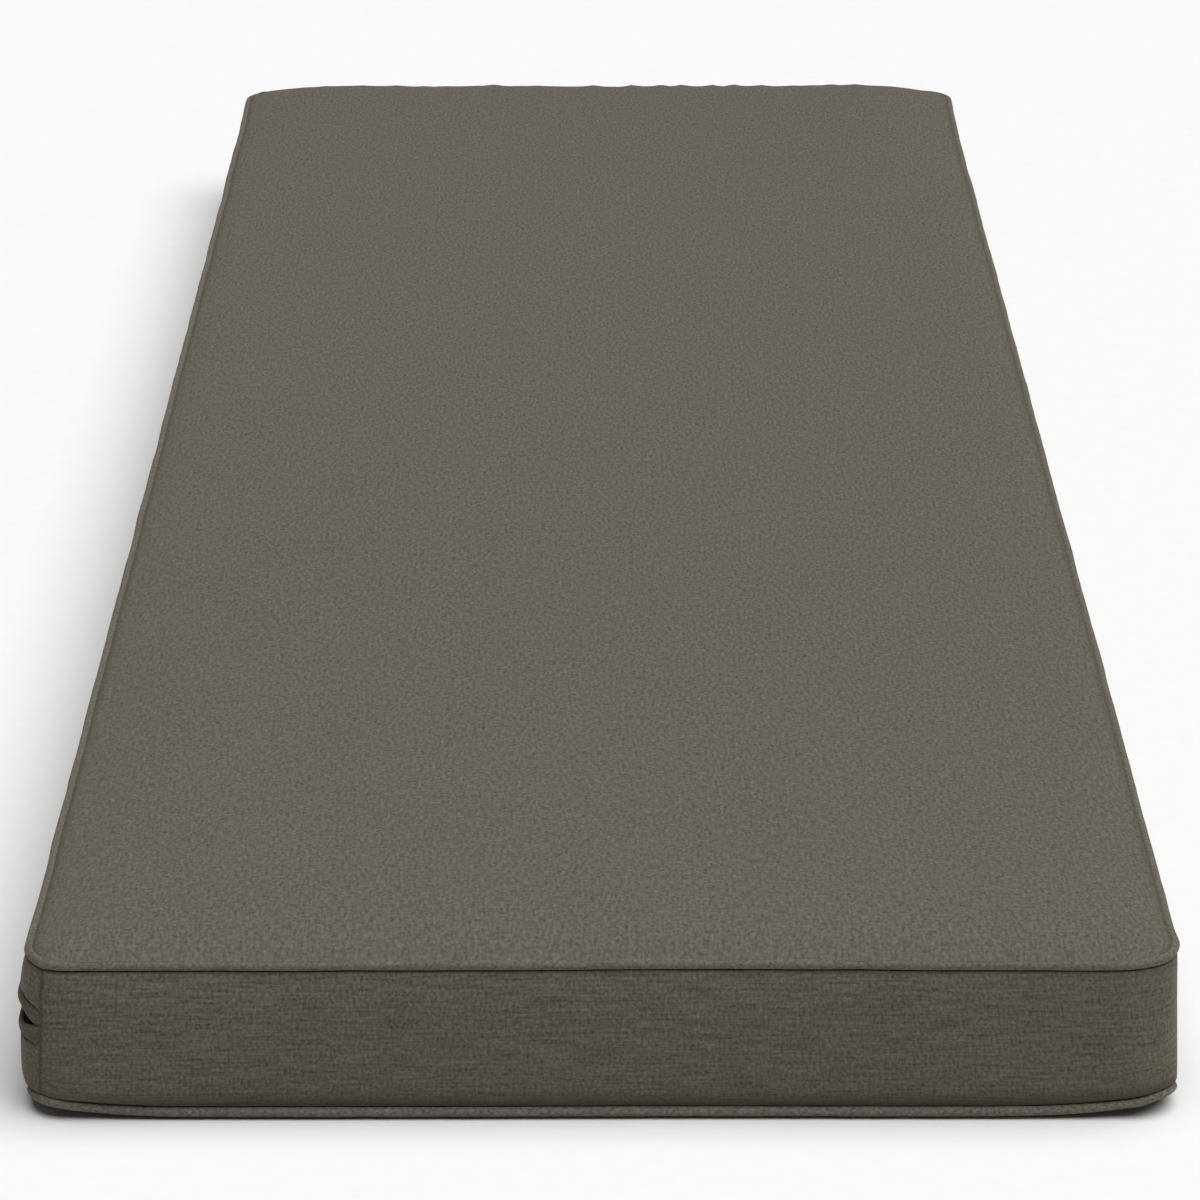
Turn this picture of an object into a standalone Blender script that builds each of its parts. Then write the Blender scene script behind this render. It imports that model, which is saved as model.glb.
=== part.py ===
"""A long piped box cushion for a bench, lying on its underside.

The long side runs along Y, the photographed short end faces -Y and the zip placket is on the -X side.
Five pieces: the filled body, the two covered cords in its seams and the two folded lips of the placket.
"""

import math

import bmesh
import bpy

# Driving dimensions, in metres
LENGTH = 1.8288             # 72 inches, over the piping of the two short ends
WIDTH = 0.6096              # 24 inches, over the piping of the two long sides
PIPING_RADIUS = 0.00245     # covered cord, 5 mm across
TOP_PIPING_Z = 0.0876       # centre of the upper piping
BOTTOM_PIPING_Z = 0.0036    # centre of the lower piping along the middle of a side
BOTTOM_SPREAD = 0.0015      # the lower piping runs this much further out than the upper one
# Corner radii of the pipings' centre lines, seen from above, by (sign of x, sign of y): upper, lower
CORNER_RADII = {
    (-1, -1): (0.0240, 0.0180),
    (1, -1): (0.0320, 0.0180),
    (-1, 1): (0.0285, 0.0200),
    (1, 1): (0.0250, 0.0200),
}

# The seam grooves that the piping lies in
GROOVE_RADIUS = 0.0029
TOP_GROOVE_ANGLES = (120.0, 165.0, 210.0, 255.0, 305.0)      # degrees, 0 points outwards, 90 upwards
BOTTOM_GROOVE_ANGLES = (78.0, 125.0, 172.0, 220.0, 268.0)

# The crown of the top panel, above its own edge
SIDE_ROLL = 0.0024          # rise just inside the long seams
SIDE_ROLL_REACH = 0.0055
FRONT_ROLL = 0.0114         # further rise just inside the front end's seam, halfway along and at the back end
MIDDLE_ROLL = 0.0103
BACK_ROLL = 0.0098
END_ROLL_REACH = 0.0085
CORNER_REACH = 0.028        # how softly the end roll fades into the corners
CORNER_REACH_GROWTH = 0.13  # the fade gets longer away from the ends, for each metre of distance
ROLL_SETTLING = 0.35        # distance over which the roll of an end settles to that of the middle

# The boxing between the two seams
BULGE = 0.0038              # how far the middle of the boxing swells out
BULGE_POWER = 4.5           # higher is flatter in the middle and rounder at the seams
# Rows of the boxing above and below the placket's creases, as shares of the way from top to bottom
ROWS_ABOVE = (0.08, 0.26, 0.58)
ROWS_BELOW = (0.45, 0.78, 0.94)
# The same near the front corners, one fuller and one tighter: (sign of x, sign of y, bulge, reach)
CORNER_BULGES = ((-1, -1, 0.0056, 0.110), (1, -1, 0.0008, 0.085))

# The lower corners stand a little off the surface: (sign of x, sign of y, lift, reach)
CORNER_LIFTS = (
    (-1, -1, 0.0062, 0.043),
    (1, -1, 0.0080, 0.045),
    (-1, 1, 0.0050, 0.044),
    (1, 1, 0.0060, 0.046),
)
UNDERSIDE_INSETS = (0.010, 0.026)   # rows of the underside between the lower seam and the flat face
RESTING_INSET = 0.060               # from the upper piping to the corners of the flat face that it rests on
RESTING_DRAW_IN = 0.004             # how far that face's sides draw in between its corners

# The zip placket on the -X side
UPPER_CREASE_Z = 0.0648
UPPER_DIP = 0.0040          # the upper crease dips by this much at the front corner seam
UPPER_DIP_REACH = 0.018
SLIT_Z = 0.0506
LOWER_CREASE_Z = 0.0388
RECESS_DEPTH = 0.0028
CREASE_HALF_STEP = 0.0002   # half the height of the recess's upper and lower walls
ROW_HALF_STEP = 0.0040      # the same for those rows where there is no recess
CLEARANCE = 0.0003          # between two pieces
LIP_THICKNESS = RECESS_DEPTH - CLEARANCE
CLOSED_SLIT = 0.0006
OPEN_SLIT = 0.0080          # where the slit gapes most, near the front corner
OPEN_SLIT_AT = 0.028        # distance from the front corner seam
OPEN_SLIT_FADE = 0.070
# A lip's section, a row for each point: share of its height from crease to slit, height above the boxing
LIP_OUTER = ((0.0, -0.0010), (0.22, 0.0002), (0.55, 0.0009), (0.86, 0.0006), (1.0, -0.0007))
LIP_INNER_SHARES = (0.97, 0.5, 0.0)

# Rows and columns of the top panel: distances from its edge, then even steps between them
CORNER_SEAM = 0.0045        # the corner seam's distance from the panel's left edge
SEAM_STEP = 0.0006
EDGE_STEPS = (0.0, 0.0022, CORNER_SEAM, 0.0085, 0.0150, 0.0225, 0.0320, 0.0480, 0.0750)
MIDDLE_COLUMNS = 7
MIDDLE_ROWS = 26
PIPING_BEVEL_RESOLUTION = 2
SHARP_ANGLE = 50.0          # degrees, tighter folds than this are shaded as creases

HALF_X = WIDTH / 2 - PIPING_RADIUS      # the piping's centre line
HALF_Y = LENGTH / 2 - PIPING_RADIUS
PANEL_INSET = -GROOVE_RADIUS * math.cos(math.radians(TOP_GROOVE_ANGLES[0]))
PANEL_HALF_X = HALF_X - PANEL_INSET
PANEL_HALF_Y = HALF_Y - PANEL_INSET
PANEL_EDGE_Z = TOP_PIPING_Z + GROOVE_RADIUS * math.sin(math.radians(TOP_GROOVE_ANGLES[0]))


def clear_scene():
    """Remove every object that the file opened with."""
    for item in list(bpy.data.objects):
        bpy.data.objects.remove(item, do_unlink=True)


def fabric(name, colour, roughness):
    """A matt woven fabric in one colour."""
    material = bpy.data.materials.new(name)
    material.use_nodes = True
    shader = material.node_tree.nodes["Principled BSDF"]
    shader.inputs["Base Color"].default_value = (*colour, 1.0)
    shader.inputs["Roughness"].default_value = roughness
    shader.inputs["Metallic"].default_value = 0.0
    return material


def body_fabric():
    """The grey-taupe cloth of the panels and the boxing."""
    return fabric("body_fabric", (0.144, 0.133, 0.109), 0.92)


def piping_fabric():
    """The same cloth, cut on the bias and drawn tight round the cords."""
    return fabric("piping_fabric", (0.133, 0.122, 0.100), 0.88)


def placket_fabric():
    """The same cloth, folded double along the zip."""
    return fabric("placket_fabric", (0.105, 0.095, 0.077), 0.92)


def smooth(mesh):
    """Shade a mesh smooth but for its tight creases."""
    mesh.shade_smooth()
    mesh.set_sharp_from_angle(angle=math.radians(SHARP_ANGLE))


def finish(bm, name, material):
    """Turn a bmesh into a named object with its own material."""
    bmesh.ops.recalc_face_normals(bm, faces=bm.faces)
    mesh = bpy.data.meshes.new(name)
    bm.to_mesh(mesh)
    bm.free()
    mesh.materials.append(material)
    smooth(mesh)
    item = bpy.data.objects.new(name, mesh)
    bpy.context.collection.objects.link(item)
    return item


def spread_lines(half, steps_low, steps_high, middle_count):
    """Places of grid lines from -half to half: fine near both edges and even between them."""
    low = [-half + step for step in steps_low]
    high = [half - step for step in reversed(steps_high)]
    span = high[0] - low[-1]
    middle = [low[-1] + span * k / middle_count for k in range(1, middle_count)]
    return low + middle + high


def column_places():
    """X of the panel's grid lines, with one more beside the corner seam on the placket's side."""
    left = sorted(EDGE_STEPS + (CORNER_SEAM + SEAM_STEP,))
    return spread_lines(PANEL_HALF_X, left, EDGE_STEPS, MIDDLE_COLUMNS)


def row_places():
    """Y of the panel's grid lines."""
    return spread_lines(PANEL_HALF_Y, EDGE_STEPS, EDGE_STEPS, MIDDLE_ROWS)


def corner_radius(x, y, share=0.0):
    """Radius of the centre line in the nearest corner: share is 0 at the upper piping, 1 at the lower."""
    upper, lower = CORNER_RADII[(int(math.copysign(1, x)), int(math.copysign(1, y)))]
    return upper + (lower - upper) * share


def corner_fraction(value, half, radius):
    """How far into the corner's square a coordinate reaches: 0 before it, 1 at the edge."""
    return max(0.0, (abs(value) - (half - radius)) / radius)


def rounded(x, y):
    """Move a point of the panel's rectangle so that the rectangle's corners become round."""
    radius = corner_radius(x, y) - PANEL_INSET
    a = corner_fraction(x, PANEL_HALF_X, radius)
    b = corner_fraction(y, PANEL_HALF_Y, radius)
    if a == 0.0 or b == 0.0:
        return x, y
    along_x = PANEL_HALF_X - radius + radius * a * math.sqrt(1 - b * b / 2)
    along_y = PANEL_HALF_Y - radius + radius * b * math.sqrt(1 - a * a / 2)
    return math.copysign(along_x, x), math.copysign(along_y, y)


def outward(x, y):
    """The outward direction at a point of the panel's edge."""
    radius = corner_radius(x, y) - PANEL_INSET
    a = corner_fraction(x, PANEL_HALF_X, radius)
    b = corner_fraction(y, PANEL_HALF_Y, radius)
    away_x = a * math.sqrt(1 - b * b / 2)
    away_y = b * math.sqrt(1 - a * a / 2)
    size = math.hypot(away_x, away_y)
    return math.copysign(away_x / size, x), math.copysign(away_y / size, y)


def edge_point(x, y, offset, z):
    """A point below the panel's edge point (x, y), by its distance out from the centre line and height."""
    normal_x, normal_y = outward(x, y)
    share = max(0.0, min(1.0, (TOP_PIPING_Z - z) / (TOP_PIPING_Z - BOTTOM_PIPING_Z)))
    radius = corner_radius(x, y, share)
    radius += offset if offset > 0.0 else -offset / 2
    core_x = HALF_X + offset - radius
    core_y = HALF_Y + offset - radius
    share_x = max(-1.0, min(1.0, x / (HALF_X - corner_radius(x, y))))
    share_y = max(-1.0, min(1.0, y / (HALF_Y - corner_radius(x, y))))
    return core_x * share_x + radius * normal_x, core_y * share_y + radius * normal_y, z


def approach(distance, reach):
    """A curve that starts at 0 and settles towards 1 over a few times its reach."""
    return 1 - math.exp(-distance / reach)


def crown(x, y):
    """Height of the top panel above its edge."""
    side = PANEL_HALF_X - abs(x)
    end = PANEL_HALF_Y - abs(y)
    low_roll = SIDE_ROLL * approach(side, SIDE_ROLL_REACH) * approach(end, SIDE_ROLL_REACH)
    roll = FRONT_ROLL if y < 0 else BACK_ROLL
    settled = MIDDLE_ROLL + (roll - MIDDLE_ROLL) * math.exp(-end / ROLL_SETTLING)
    across = approach(side, CORNER_REACH + CORNER_REACH_GROWTH * end)
    return low_roll + settled * approach(end, END_ROLL_REACH) * across


def corner_lift(x, y):
    """How far the lower seam stands above its height along the middle of a side."""
    lift = 0.0
    for sign_x, sign_y, height, reach in CORNER_LIFTS:
        apart = math.hypot(x - sign_x * HALF_X, y - sign_y * HALF_Y)
        lift += height * math.exp(-((apart / reach) ** 2))
    return lift


def bulge(x, y):
    """How far the boxing swells out at its middle height."""
    swell = BULGE
    for sign_x, sign_y, at_corner, reach in CORNER_BULGES:
        apart = math.hypot(x - sign_x * HALF_X, y - sign_y * HALF_Y)
        swell += (at_corner - BULGE) * math.exp(-((apart / reach) ** 2))
    return swell


def on_placket(x):
    """Whether an edge point lies between the two corner seams of the placket's side."""
    return x <= -PANEL_HALF_X + CORNER_SEAM + SEAM_STEP / 2


def from_front_seam(x, y):
    """Distance in plan between an edge point and the corner seam at the front of the placket."""
    here = edge_point(x, y, 0.0, TOP_PIPING_Z)
    seam = edge_point(-PANEL_HALF_X + CORNER_SEAM, -PANEL_HALF_Y, 0.0, TOP_PIPING_Z)
    return math.dist(here, seam)


def crease_heights(x, y):
    """Heights of the placket's upper and lower creases at an edge point."""
    dip = UPPER_DIP * math.exp(-((from_front_seam(x, y) / UPPER_DIP_REACH) ** 2))
    return UPPER_CREASE_Z - dip, LOWER_CREASE_Z


def groove_point(angle, spread, centre_z):
    """A point of a seam groove, as its distance out from the centre line and its height."""
    turn = math.radians(angle)
    return spread + GROOVE_RADIUS * math.cos(turn), centre_z + GROOVE_RADIUS * math.sin(turn)


def boxing_offset(x, y, z):
    """How far the boxing stands out from the piping's centre line at a height."""
    top_offset, top_z = groove_point(TOP_GROOVE_ANGLES[-1], 0.0, TOP_PIPING_Z)
    lower_piping_z = BOTTOM_PIPING_Z + corner_lift(x, y)
    end_offset, end_z = groove_point(BOTTOM_GROOVE_ANGLES[0], BOTTOM_SPREAD, lower_piping_z)
    share = (top_z - z) / (top_z - end_z)
    swell = bulge(x, y) * (1 - abs(2 * share - 1) ** BULGE_POWER)
    return top_offset + (end_offset - top_offset) * share + swell


def boxing_section(x, y):
    """The boxing's rows at an edge point, as (distance out, height), from the top groove down."""
    top_z = groove_point(TOP_GROOVE_ANGLES[-1], 0.0, TOP_PIPING_Z)[1]
    lower_piping_z = BOTTOM_PIPING_Z + corner_lift(x, y)
    end_z = groove_point(BOTTOM_GROOVE_ANGLES[0], BOTTOM_SPREAD, lower_piping_z)[1]
    recessed = on_placket(x)
    half_step = CREASE_HALF_STEP if recessed else ROW_HALF_STEP
    depth = RECESS_DEPTH if recessed else 0.0
    upper_z, lower_z = crease_heights(x, y)
    above = [(top_z + (upper_z - top_z) * share, 0.0) for share in ROWS_ABOVE]
    below = [(lower_z + (end_z - lower_z) * share, 0.0) for share in ROWS_BELOW]
    creases = [
        (upper_z + half_step, 0.0),
        (upper_z - half_step, depth),
        (lower_z + half_step, depth),
        (lower_z - half_step, 0.0),
    ]
    return [(boxing_offset(x, y, z) - sunk, z) for z, sunk in above + creases + below]


def edge_section(x, y):
    """Every row between the top panel and the resting face at an edge point, as (distance out, height)."""
    lower_piping_z = BOTTOM_PIPING_Z + corner_lift(x, y)
    rows = [groove_point(angle, 0.0, TOP_PIPING_Z) for angle in TOP_GROOVE_ANGLES[1:]]
    rows += boxing_section(x, y)
    rows += [groove_point(angle, BOTTOM_SPREAD, lower_piping_z) for angle in BOTTOM_GROOVE_ANGLES]
    edge_z = rows[-1][1]
    rows += [(BOTTOM_SPREAD - inset, edge_z * (1 - inset / RESTING_INSET)) for inset in UNDERSIDE_INSETS]
    return rows


def resting_point(x, y):
    """The corner or side point of the flat resting face that lies under the panel's edge point (x, y)."""
    half_x = HALF_X - RESTING_INSET - RESTING_DRAW_IN * (1 - (y / PANEL_HALF_Y) ** 2)
    half_y = HALF_Y - RESTING_INSET - RESTING_DRAW_IN * (1 - (x / PANEL_HALF_X) ** 2)
    return x / PANEL_HALF_X * half_x, y / PANEL_HALF_Y * half_y, 0.0


def build_panel(bm):
    """The crowned top panel, as a grid whose corners are rounded. Returns its edge vertices' places."""
    columns = column_places()
    rows = row_places()
    made = bmesh.ops.create_grid(bm, x_segments=len(columns) - 1, y_segments=len(rows) - 1, size=1.0)
    flat_places = {}
    for vert in made["verts"]:
        column = round((vert.co.x + 1) / 2 * (len(columns) - 1))
        row = round((vert.co.y + 1) / 2 * (len(rows) - 1))
        x, y = columns[column], rows[row]
        if vert.is_boundary:
            flat_places[vert] = (x, y)
        px, py = rounded(x, y)
        vert.co = (px, py, PANEL_EDGE_Z + crown(x, y))
    return flat_places


def extrude_row(bm, edges, flat_places, place):
    """Extrude the open edge once and move it to where place puts each edge point."""
    extruded = bmesh.ops.extrude_edge_only(bm, edges=edges)["geom"]
    new_verts = [item for item in extruded if isinstance(item, bmesh.types.BMVert)]
    new_edges = [item for item in extruded if isinstance(item, bmesh.types.BMEdge)]
    moved = {}
    for vert in new_verts:
        partner = next(
            edge.other_vert(vert) for edge in vert.link_edges if edge.other_vert(vert) in flat_places
        )
        x, y = flat_places[partner]
        vert.co = place(x, y)
        moved[vert] = (x, y)
    return new_edges, moved


def build_body():
    """The filled cushion: crowned panel, seam grooves, boxing with the placket's recess, flat underside."""
    bm = bmesh.new()
    flat_places = build_panel(bm)
    edges = [edge for edge in bm.edges if edge.is_boundary]
    row_count = len(edge_section(0.0, -PANEL_HALF_Y))
    for row in range(row_count):
        edges, flat_places = extrude_row(
            bm, edges, flat_places, lambda x, y: edge_point(x, y, *edge_section(x, y)[row])
        )
    edges, flat_places = extrude_row(bm, edges, flat_places, resting_point)
    bmesh.ops.contextual_create(bm, geom=edges)
    return finish(bm, "cushion_body", body_fabric())


def edge_loop_places():
    """The panel's edge points in order, once round, from the front left corner towards the right."""
    columns = column_places()
    rows = row_places()
    front = [(x, rows[0]) for x in columns]
    right = [(columns[-1], y) for y in rows[1:]]
    back = [(x, rows[-1]) for x in reversed(columns[:-1])]
    left = [(columns[0], y) for y in reversed(rows[1:-1])]
    return front + right + back + left


def build_piping(name, spread, height, lifts):
    """A covered cord as a closed ring along a seam. lifts says whether it rises at the corners."""
    curve = bpy.data.curves.new(name, "CURVE")
    curve.dimensions = "3D"
    curve.bevel_depth = PIPING_RADIUS
    curve.bevel_resolution = PIPING_BEVEL_RESOLUTION
    places = edge_loop_places()
    spline = curve.splines.new("POLY")
    spline.points.add(len(places) - 1)
    for point, (x, y) in zip(spline.points, places):
        z = height + (corner_lift(x, y) if lifts else 0.0)
        point.co = (*edge_point(x, y, spread, z), 1.0)
    spline.use_cyclic_u = True
    spline.use_smooth = True
    curve.materials.append(piping_fabric())
    item = bpy.data.objects.new(name, curve)
    bpy.context.collection.objects.link(item)
    return item


def placket_places():
    """Edge points of the placket's side, from the front corner seam to the back one."""
    columns = [x for x in column_places() if on_placket(x)]
    rows = row_places()
    front = [(x, rows[0]) for x in reversed(columns)]
    side = [(columns[0], y) for y in rows[1:-1]]
    back = [(x, rows[-1]) for x in columns]
    return front + side + back


def slit_opening(x, y):
    """Height of the slit between the lips at an edge point."""
    apart = from_front_seam(x, y)
    if apart < OPEN_SLIT_AT:
        share = apart / OPEN_SLIT_AT
    else:
        share = math.exp(-(((apart - OPEN_SLIT_AT) / OPEN_SLIT_FADE) ** 2))
    return CLOSED_SLIT + (OPEN_SLIT - CLOSED_SLIT) * share


def lip_section(x, y, crease_z, edge_z):
    """A lip's closed section at an edge point, as (distance out, height), crease to slit and back."""
    points = []
    for share, proud in LIP_OUTER:
        z = crease_z + (edge_z - crease_z) * share
        points.append((boxing_offset(x, y, z) + proud, z))
    for share in LIP_INNER_SHARES:
        z = crease_z + (edge_z - crease_z) * share
        points.append((boxing_offset(x, y, z) - LIP_THICKNESS, z))
    return points


def build_lip(name, hangs):
    """A folded lip of the placket, hanging from the upper crease or standing on the lower one."""
    bm = bmesh.new()
    direction = -1 if hangs else 1
    wall = CREASE_HALF_STEP + CLEARANCE
    loops = []
    for x, y in placket_places():
        upper_z, lower_z = crease_heights(x, y)
        crease_z = upper_z if hangs else lower_z
        edge_z = SLIT_Z - direction * slit_opening(x, y) / 2
        section = lip_section(x, y, crease_z + direction * wall, edge_z)
        ring = [bm.verts.new(edge_point(x, y, offset, z)) for offset, z in section]
        loops.append(ring)
    for ring in loops:
        for k, vert in enumerate(ring):
            bm.edges.new((vert, ring[(k + 1) % len(ring)]))
    for first, second in zip(loops, loops[1:]):
        for k in range(len(first)):
            after = (k + 1) % len(first)
            bm.faces.new((first[k], first[after], second[after], second[k]))
    bm.faces.new(loops[0])
    bm.faces.new(list(reversed(loops[-1])))
    return finish(bm, name, placket_fabric())


def centre_on_origin(items):
    """Hang all pieces on an empty that puts the middle of their box over the origin."""
    bpy.context.view_layer.update()
    meshes = [item for item in items if item.type == "MESH"]
    corners = [item.matrix_world @ vert.co for item in meshes for vert in item.data.vertices]
    middle_x = (min(c.x for c in corners) + max(c.x for c in corners)) / 2
    middle_y = (min(c.y for c in corners) + max(c.y for c in corners)) / 2
    empty = bpy.data.objects.new("cushion_origin", None)
    bpy.context.collection.objects.link(empty)
    empty.location = (-middle_x, -middle_y, 0.0)
    for item in items:
        item.parent = empty


def main():
    """Build the cushion."""
    clear_scene()
    body = build_body()
    top_piping = build_piping("top_piping", 0.0, TOP_PIPING_Z, lifts=False)
    bottom_piping = build_piping("bottom_piping", BOTTOM_SPREAD, BOTTOM_PIPING_Z, lifts=True)
    upper_lip = build_lip("zip_lip_upper", hangs=True)
    lower_lip = build_lip("zip_lip_lower", hangs=False)
    centre_on_origin([body, top_piping, bottom_piping, upper_lip, lower_lip])


main()
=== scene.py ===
"""The looks of a long piped bench cushion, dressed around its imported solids.

The cushion lies on its underside with its length along Y. Its photographed short end faces -Y and its zip
placket is on the -X side. The cover is one filled cloth form with crowned panels and full boxing, a covered
cord (the welt) runs round each of its two seams, and two folded lips close the placket.
"""

import logging
import math
from dataclasses import dataclass
from enum import Enum

import bpy
import numpy as np
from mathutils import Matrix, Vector


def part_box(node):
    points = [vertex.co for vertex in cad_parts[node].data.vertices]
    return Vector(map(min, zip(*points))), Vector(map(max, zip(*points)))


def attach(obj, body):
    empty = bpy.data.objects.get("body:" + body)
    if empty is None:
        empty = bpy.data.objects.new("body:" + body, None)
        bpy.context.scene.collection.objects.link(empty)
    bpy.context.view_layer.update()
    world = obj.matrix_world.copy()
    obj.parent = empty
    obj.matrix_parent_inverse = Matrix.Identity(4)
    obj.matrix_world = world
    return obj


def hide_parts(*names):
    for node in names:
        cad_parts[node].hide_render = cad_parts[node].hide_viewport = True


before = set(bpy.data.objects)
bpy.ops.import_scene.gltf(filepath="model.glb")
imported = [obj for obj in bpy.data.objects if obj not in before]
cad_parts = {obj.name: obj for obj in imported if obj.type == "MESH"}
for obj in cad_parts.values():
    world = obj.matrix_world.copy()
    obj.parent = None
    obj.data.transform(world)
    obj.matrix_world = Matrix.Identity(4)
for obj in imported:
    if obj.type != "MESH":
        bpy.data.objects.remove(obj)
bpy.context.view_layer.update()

MM = 0.001
UV_NAME = "cloth_grain"
SEWN = "sewn_down"
EASED = "eased_in"
# Painted shade beside the seams, whose value also eases the cloth in there
SEAM_PAINTED_SHADE_AND_EASE = "seam_painted_shade_and_ease"
MIX_FROM, MIX_TO, MIXED = 6, 7, 2  # the colour sockets of a mix node
FRONT, BACK = -1, 1  # the two ends, by their sign along Y
ENDS = (FRONT, BACK)
Array = np.ndarray
Pair = tuple[float, float]
Object, Mesh, Material = bpy.types.Object, bpy.types.Mesh, bpy.types.Material
Node, Tree, Socket = bpy.types.Node, bpy.types.NodeTree, bpy.types.NodeSocket
log = logging.getLogger("bench_cushion")


# ------------------------ nodes and meshes


def srgb(code: str) -> tuple[float, float, float, float]:
    """Turn an sRGB hex colour into the linear colour that a shader takes.

    Args:
        code: Six hex digits after a hash sign.

    Returns:
        Linear red, green and blue, and an alpha of 1.
    """
    shares = [int(code[k : k + 2], 16) / 255 for k in (1, 3, 5)]
    linear = [s / 12.92 if s <= 0.04045 else ((s + 0.055) / 1.055) ** 2.4 for s in shares]
    return (*linear, 1.0)


def feed(node: Node, inputs: dict) -> Node:
    """Give a node's inputs their values or links.

    Args:
        node: The node.
        inputs: Input name or number, and the value or the output socket that feeds it.

    Returns:
        The same node.
    """
    for key, value in inputs.items():
        if isinstance(value, Socket):
            node.id_data.links.new(value, node.inputs[key])
        else:
            node.inputs[key].default_value = value
    return node


def add_node(tree: Tree, kind: str, inputs: dict | None = None, **settings: object) -> Node:
    """Add a node with its settings, values and links.

    Args:
        tree: The node tree it goes into.
        kind: Blender's name for the node's type, after ShaderNode.
        inputs: What feed takes.
        **settings: Properties of the node itself.

    Returns:
        The new node.
    """
    made = tree.nodes.new(f"ShaderNode{kind}")
    for key, value in settings.items():
        setattr(made, key, value)
    return feed(made, inputs or {})


def start_material(name: str) -> tuple[Material, Tree, Node]:
    """Start a material.

    Args:
        name: What the real material is.

    Returns:
        The material, its node tree and its shader.
    """
    made = bpy.data.materials.new(name)
    made.use_nodes = True
    return made, made.node_tree, made.node_tree.nodes["Principled BSDF"]


def cloth_place(tree: Tree, turn: float) -> Socket:
    """Read the place on the cloth in millimetres.

    Args:
        tree: The material's tree.
        turn: How far the threads are turned, in degrees.

    Returns:
        The place's socket.
    """
    grain = add_node(tree, "UVMap", uv_map=UV_NAME).outputs["UV"]
    scaled = {"Vector": grain, "Rotation": (0, 0, math.radians(turn)), "Scale": (1 / MM, 1 / MM, 1 / MM)}
    return add_node(tree, "Mapping", scaled).outputs["Vector"]


def only_active(piece: Object) -> None:
    """Make one piece the only selected and the active one."""
    bpy.ops.object.select_all(action="DESELECT")
    piece.select_set(True)
    bpy.context.view_layer.objects.active = piece


def apply_modifier(piece: Object, kind: str, **settings: object) -> None:
    """Give a piece a modifier and apply it.

    Args:
        piece: The piece.
        kind: Blender's name for the modifier's type.
        **settings: The modifier's own settings.
    """
    only_active(piece)
    added = piece.modifiers.new(kind.lower(), kind)
    for key, value in settings.items():
        setattr(added, key, value)
    bpy.ops.object.modifier_apply(modifier=added.name)


def read_points(mesh: Mesh, what: str = "co") -> Array:
    """Read a mesh's points, or another triple that each has.

    Args:
        mesh: The mesh.
        what: The name of the triple.

    Returns:
        One row for each point.
    """
    flat = np.empty(len(mesh.vertices) * 3)
    mesh.vertices.foreach_get(what, flat)
    return flat.reshape(-1, 3)


def write_points(mesh: Mesh, points: Array) -> None:
    """Put rows back as a mesh's points."""
    mesh.vertices.foreach_set("co", np.ascontiguousarray(points, dtype=np.float64).ravel())
    mesh.update()


def write_uv(mesh: Mesh, corners: Array) -> None:
    """Give each face corner its place on the cloth: metres along the weft and across it."""
    layer = mesh.uv_layers.new(name=UV_NAME)
    layer.data.foreach_set("uv", np.ascontiguousarray(corners, dtype=np.float32).ravel())


def make_piece(
    name: str, points: Array, faces: list[list[int]], corners: Array, finishes: list[Material]
) -> Object:
    """Make a piece of cloth.

    Args:
        name: The piece's name.
        points: Rows of X, Y and Z.
        faces: The point numbers of each face.
        corners: The place on the cloth of each face corner.
        finishes: Its materials.

    Returns:
        The new piece, in the scene.
    """
    mesh = bpy.data.meshes.new(name)
    mesh.from_pydata(points.tolist(), [], faces)
    write_uv(mesh, corners)
    for finish in finishes:
        mesh.materials.append(finish)
    piece = bpy.data.objects.new(name, mesh)
    bpy.context.scene.collection.objects.link(piece)
    return piece


def grid_faces(rows: int, columns: int) -> Array:
    """The four point numbers of each face of a grid.

    Args:
        rows: Points from row to row.
        columns: Points in a row, which are numbered one row after another.

    Returns:
        One row for each face.
    """
    n = np.arange(rows * columns).reshape(rows, columns)
    return np.stack([n[:-1, :-1], n[:-1, 1:], n[1:, 1:], n[1:, :-1]], axis=-1).reshape(-1, 4)


# ------------------------ curves and places


def bell(distance: Array, reach: float) -> Array:
    """A smooth bump of height 1 that fades over its reach."""
    return np.exp(-((distance / reach) ** 2))


def approach(distance: Array, reach: Array | float) -> Array:
    """A curve that starts at 0 and settles towards 1 over a few times its reach."""
    return 1 - np.exp(-distance / reach)


def run(*axes: Array) -> Array:
    """Lengths along a line of points, from 0 at its first one, given an array for each axis."""
    return np.concatenate([[0.0], np.cumsum(np.sqrt(sum(np.diff(axis) ** 2 for axis in axes)))])


@dataclass(frozen=True)
class Bump:
    """A smooth bump along a line: its height, and its middle and its reach in millimetres."""

    height: float
    middle: float
    reach: float

    def at(self, place: Array) -> Array:
        """Its height at places in metres."""
        return self.height * bell(place - self.middle * MM, self.reach * MM)


Bumps = tuple[Bump, ...]


def total(bumps: Bumps, place: Array) -> Array:
    """Add up bumps along one line."""
    return sum(bump.at(place) for bump in bumps)


@dataclass(frozen=True)
class WaveField:
    """Smooth unevenness over a surface: the sum of a few slanted waves, the same in each run."""

    shortest: float  # mm
    longest: float
    seed: int
    count: int = 9

    def at(self, u: Array, v: Array) -> Array:
        """Read the field.

        Args:
            u: First coordinate in metres.
            v: Second coordinate in metres.

        Returns:
            Heights of about unit size.
        """
        draws = np.random.default_rng(self.seed)
        height = np.zeros(np.broadcast(u, v).shape)
        for _ in range(self.count):
            length = self.shortest * MM * (self.longest / self.shortest) ** draws.random()
            angle, phase = 2 * math.pi * draws.random(2)
            height += np.sin(2 * math.pi * (u * math.cos(angle) + v * math.sin(angle)) / length + phase)
        return height / math.sqrt(self.count / 2)


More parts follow.
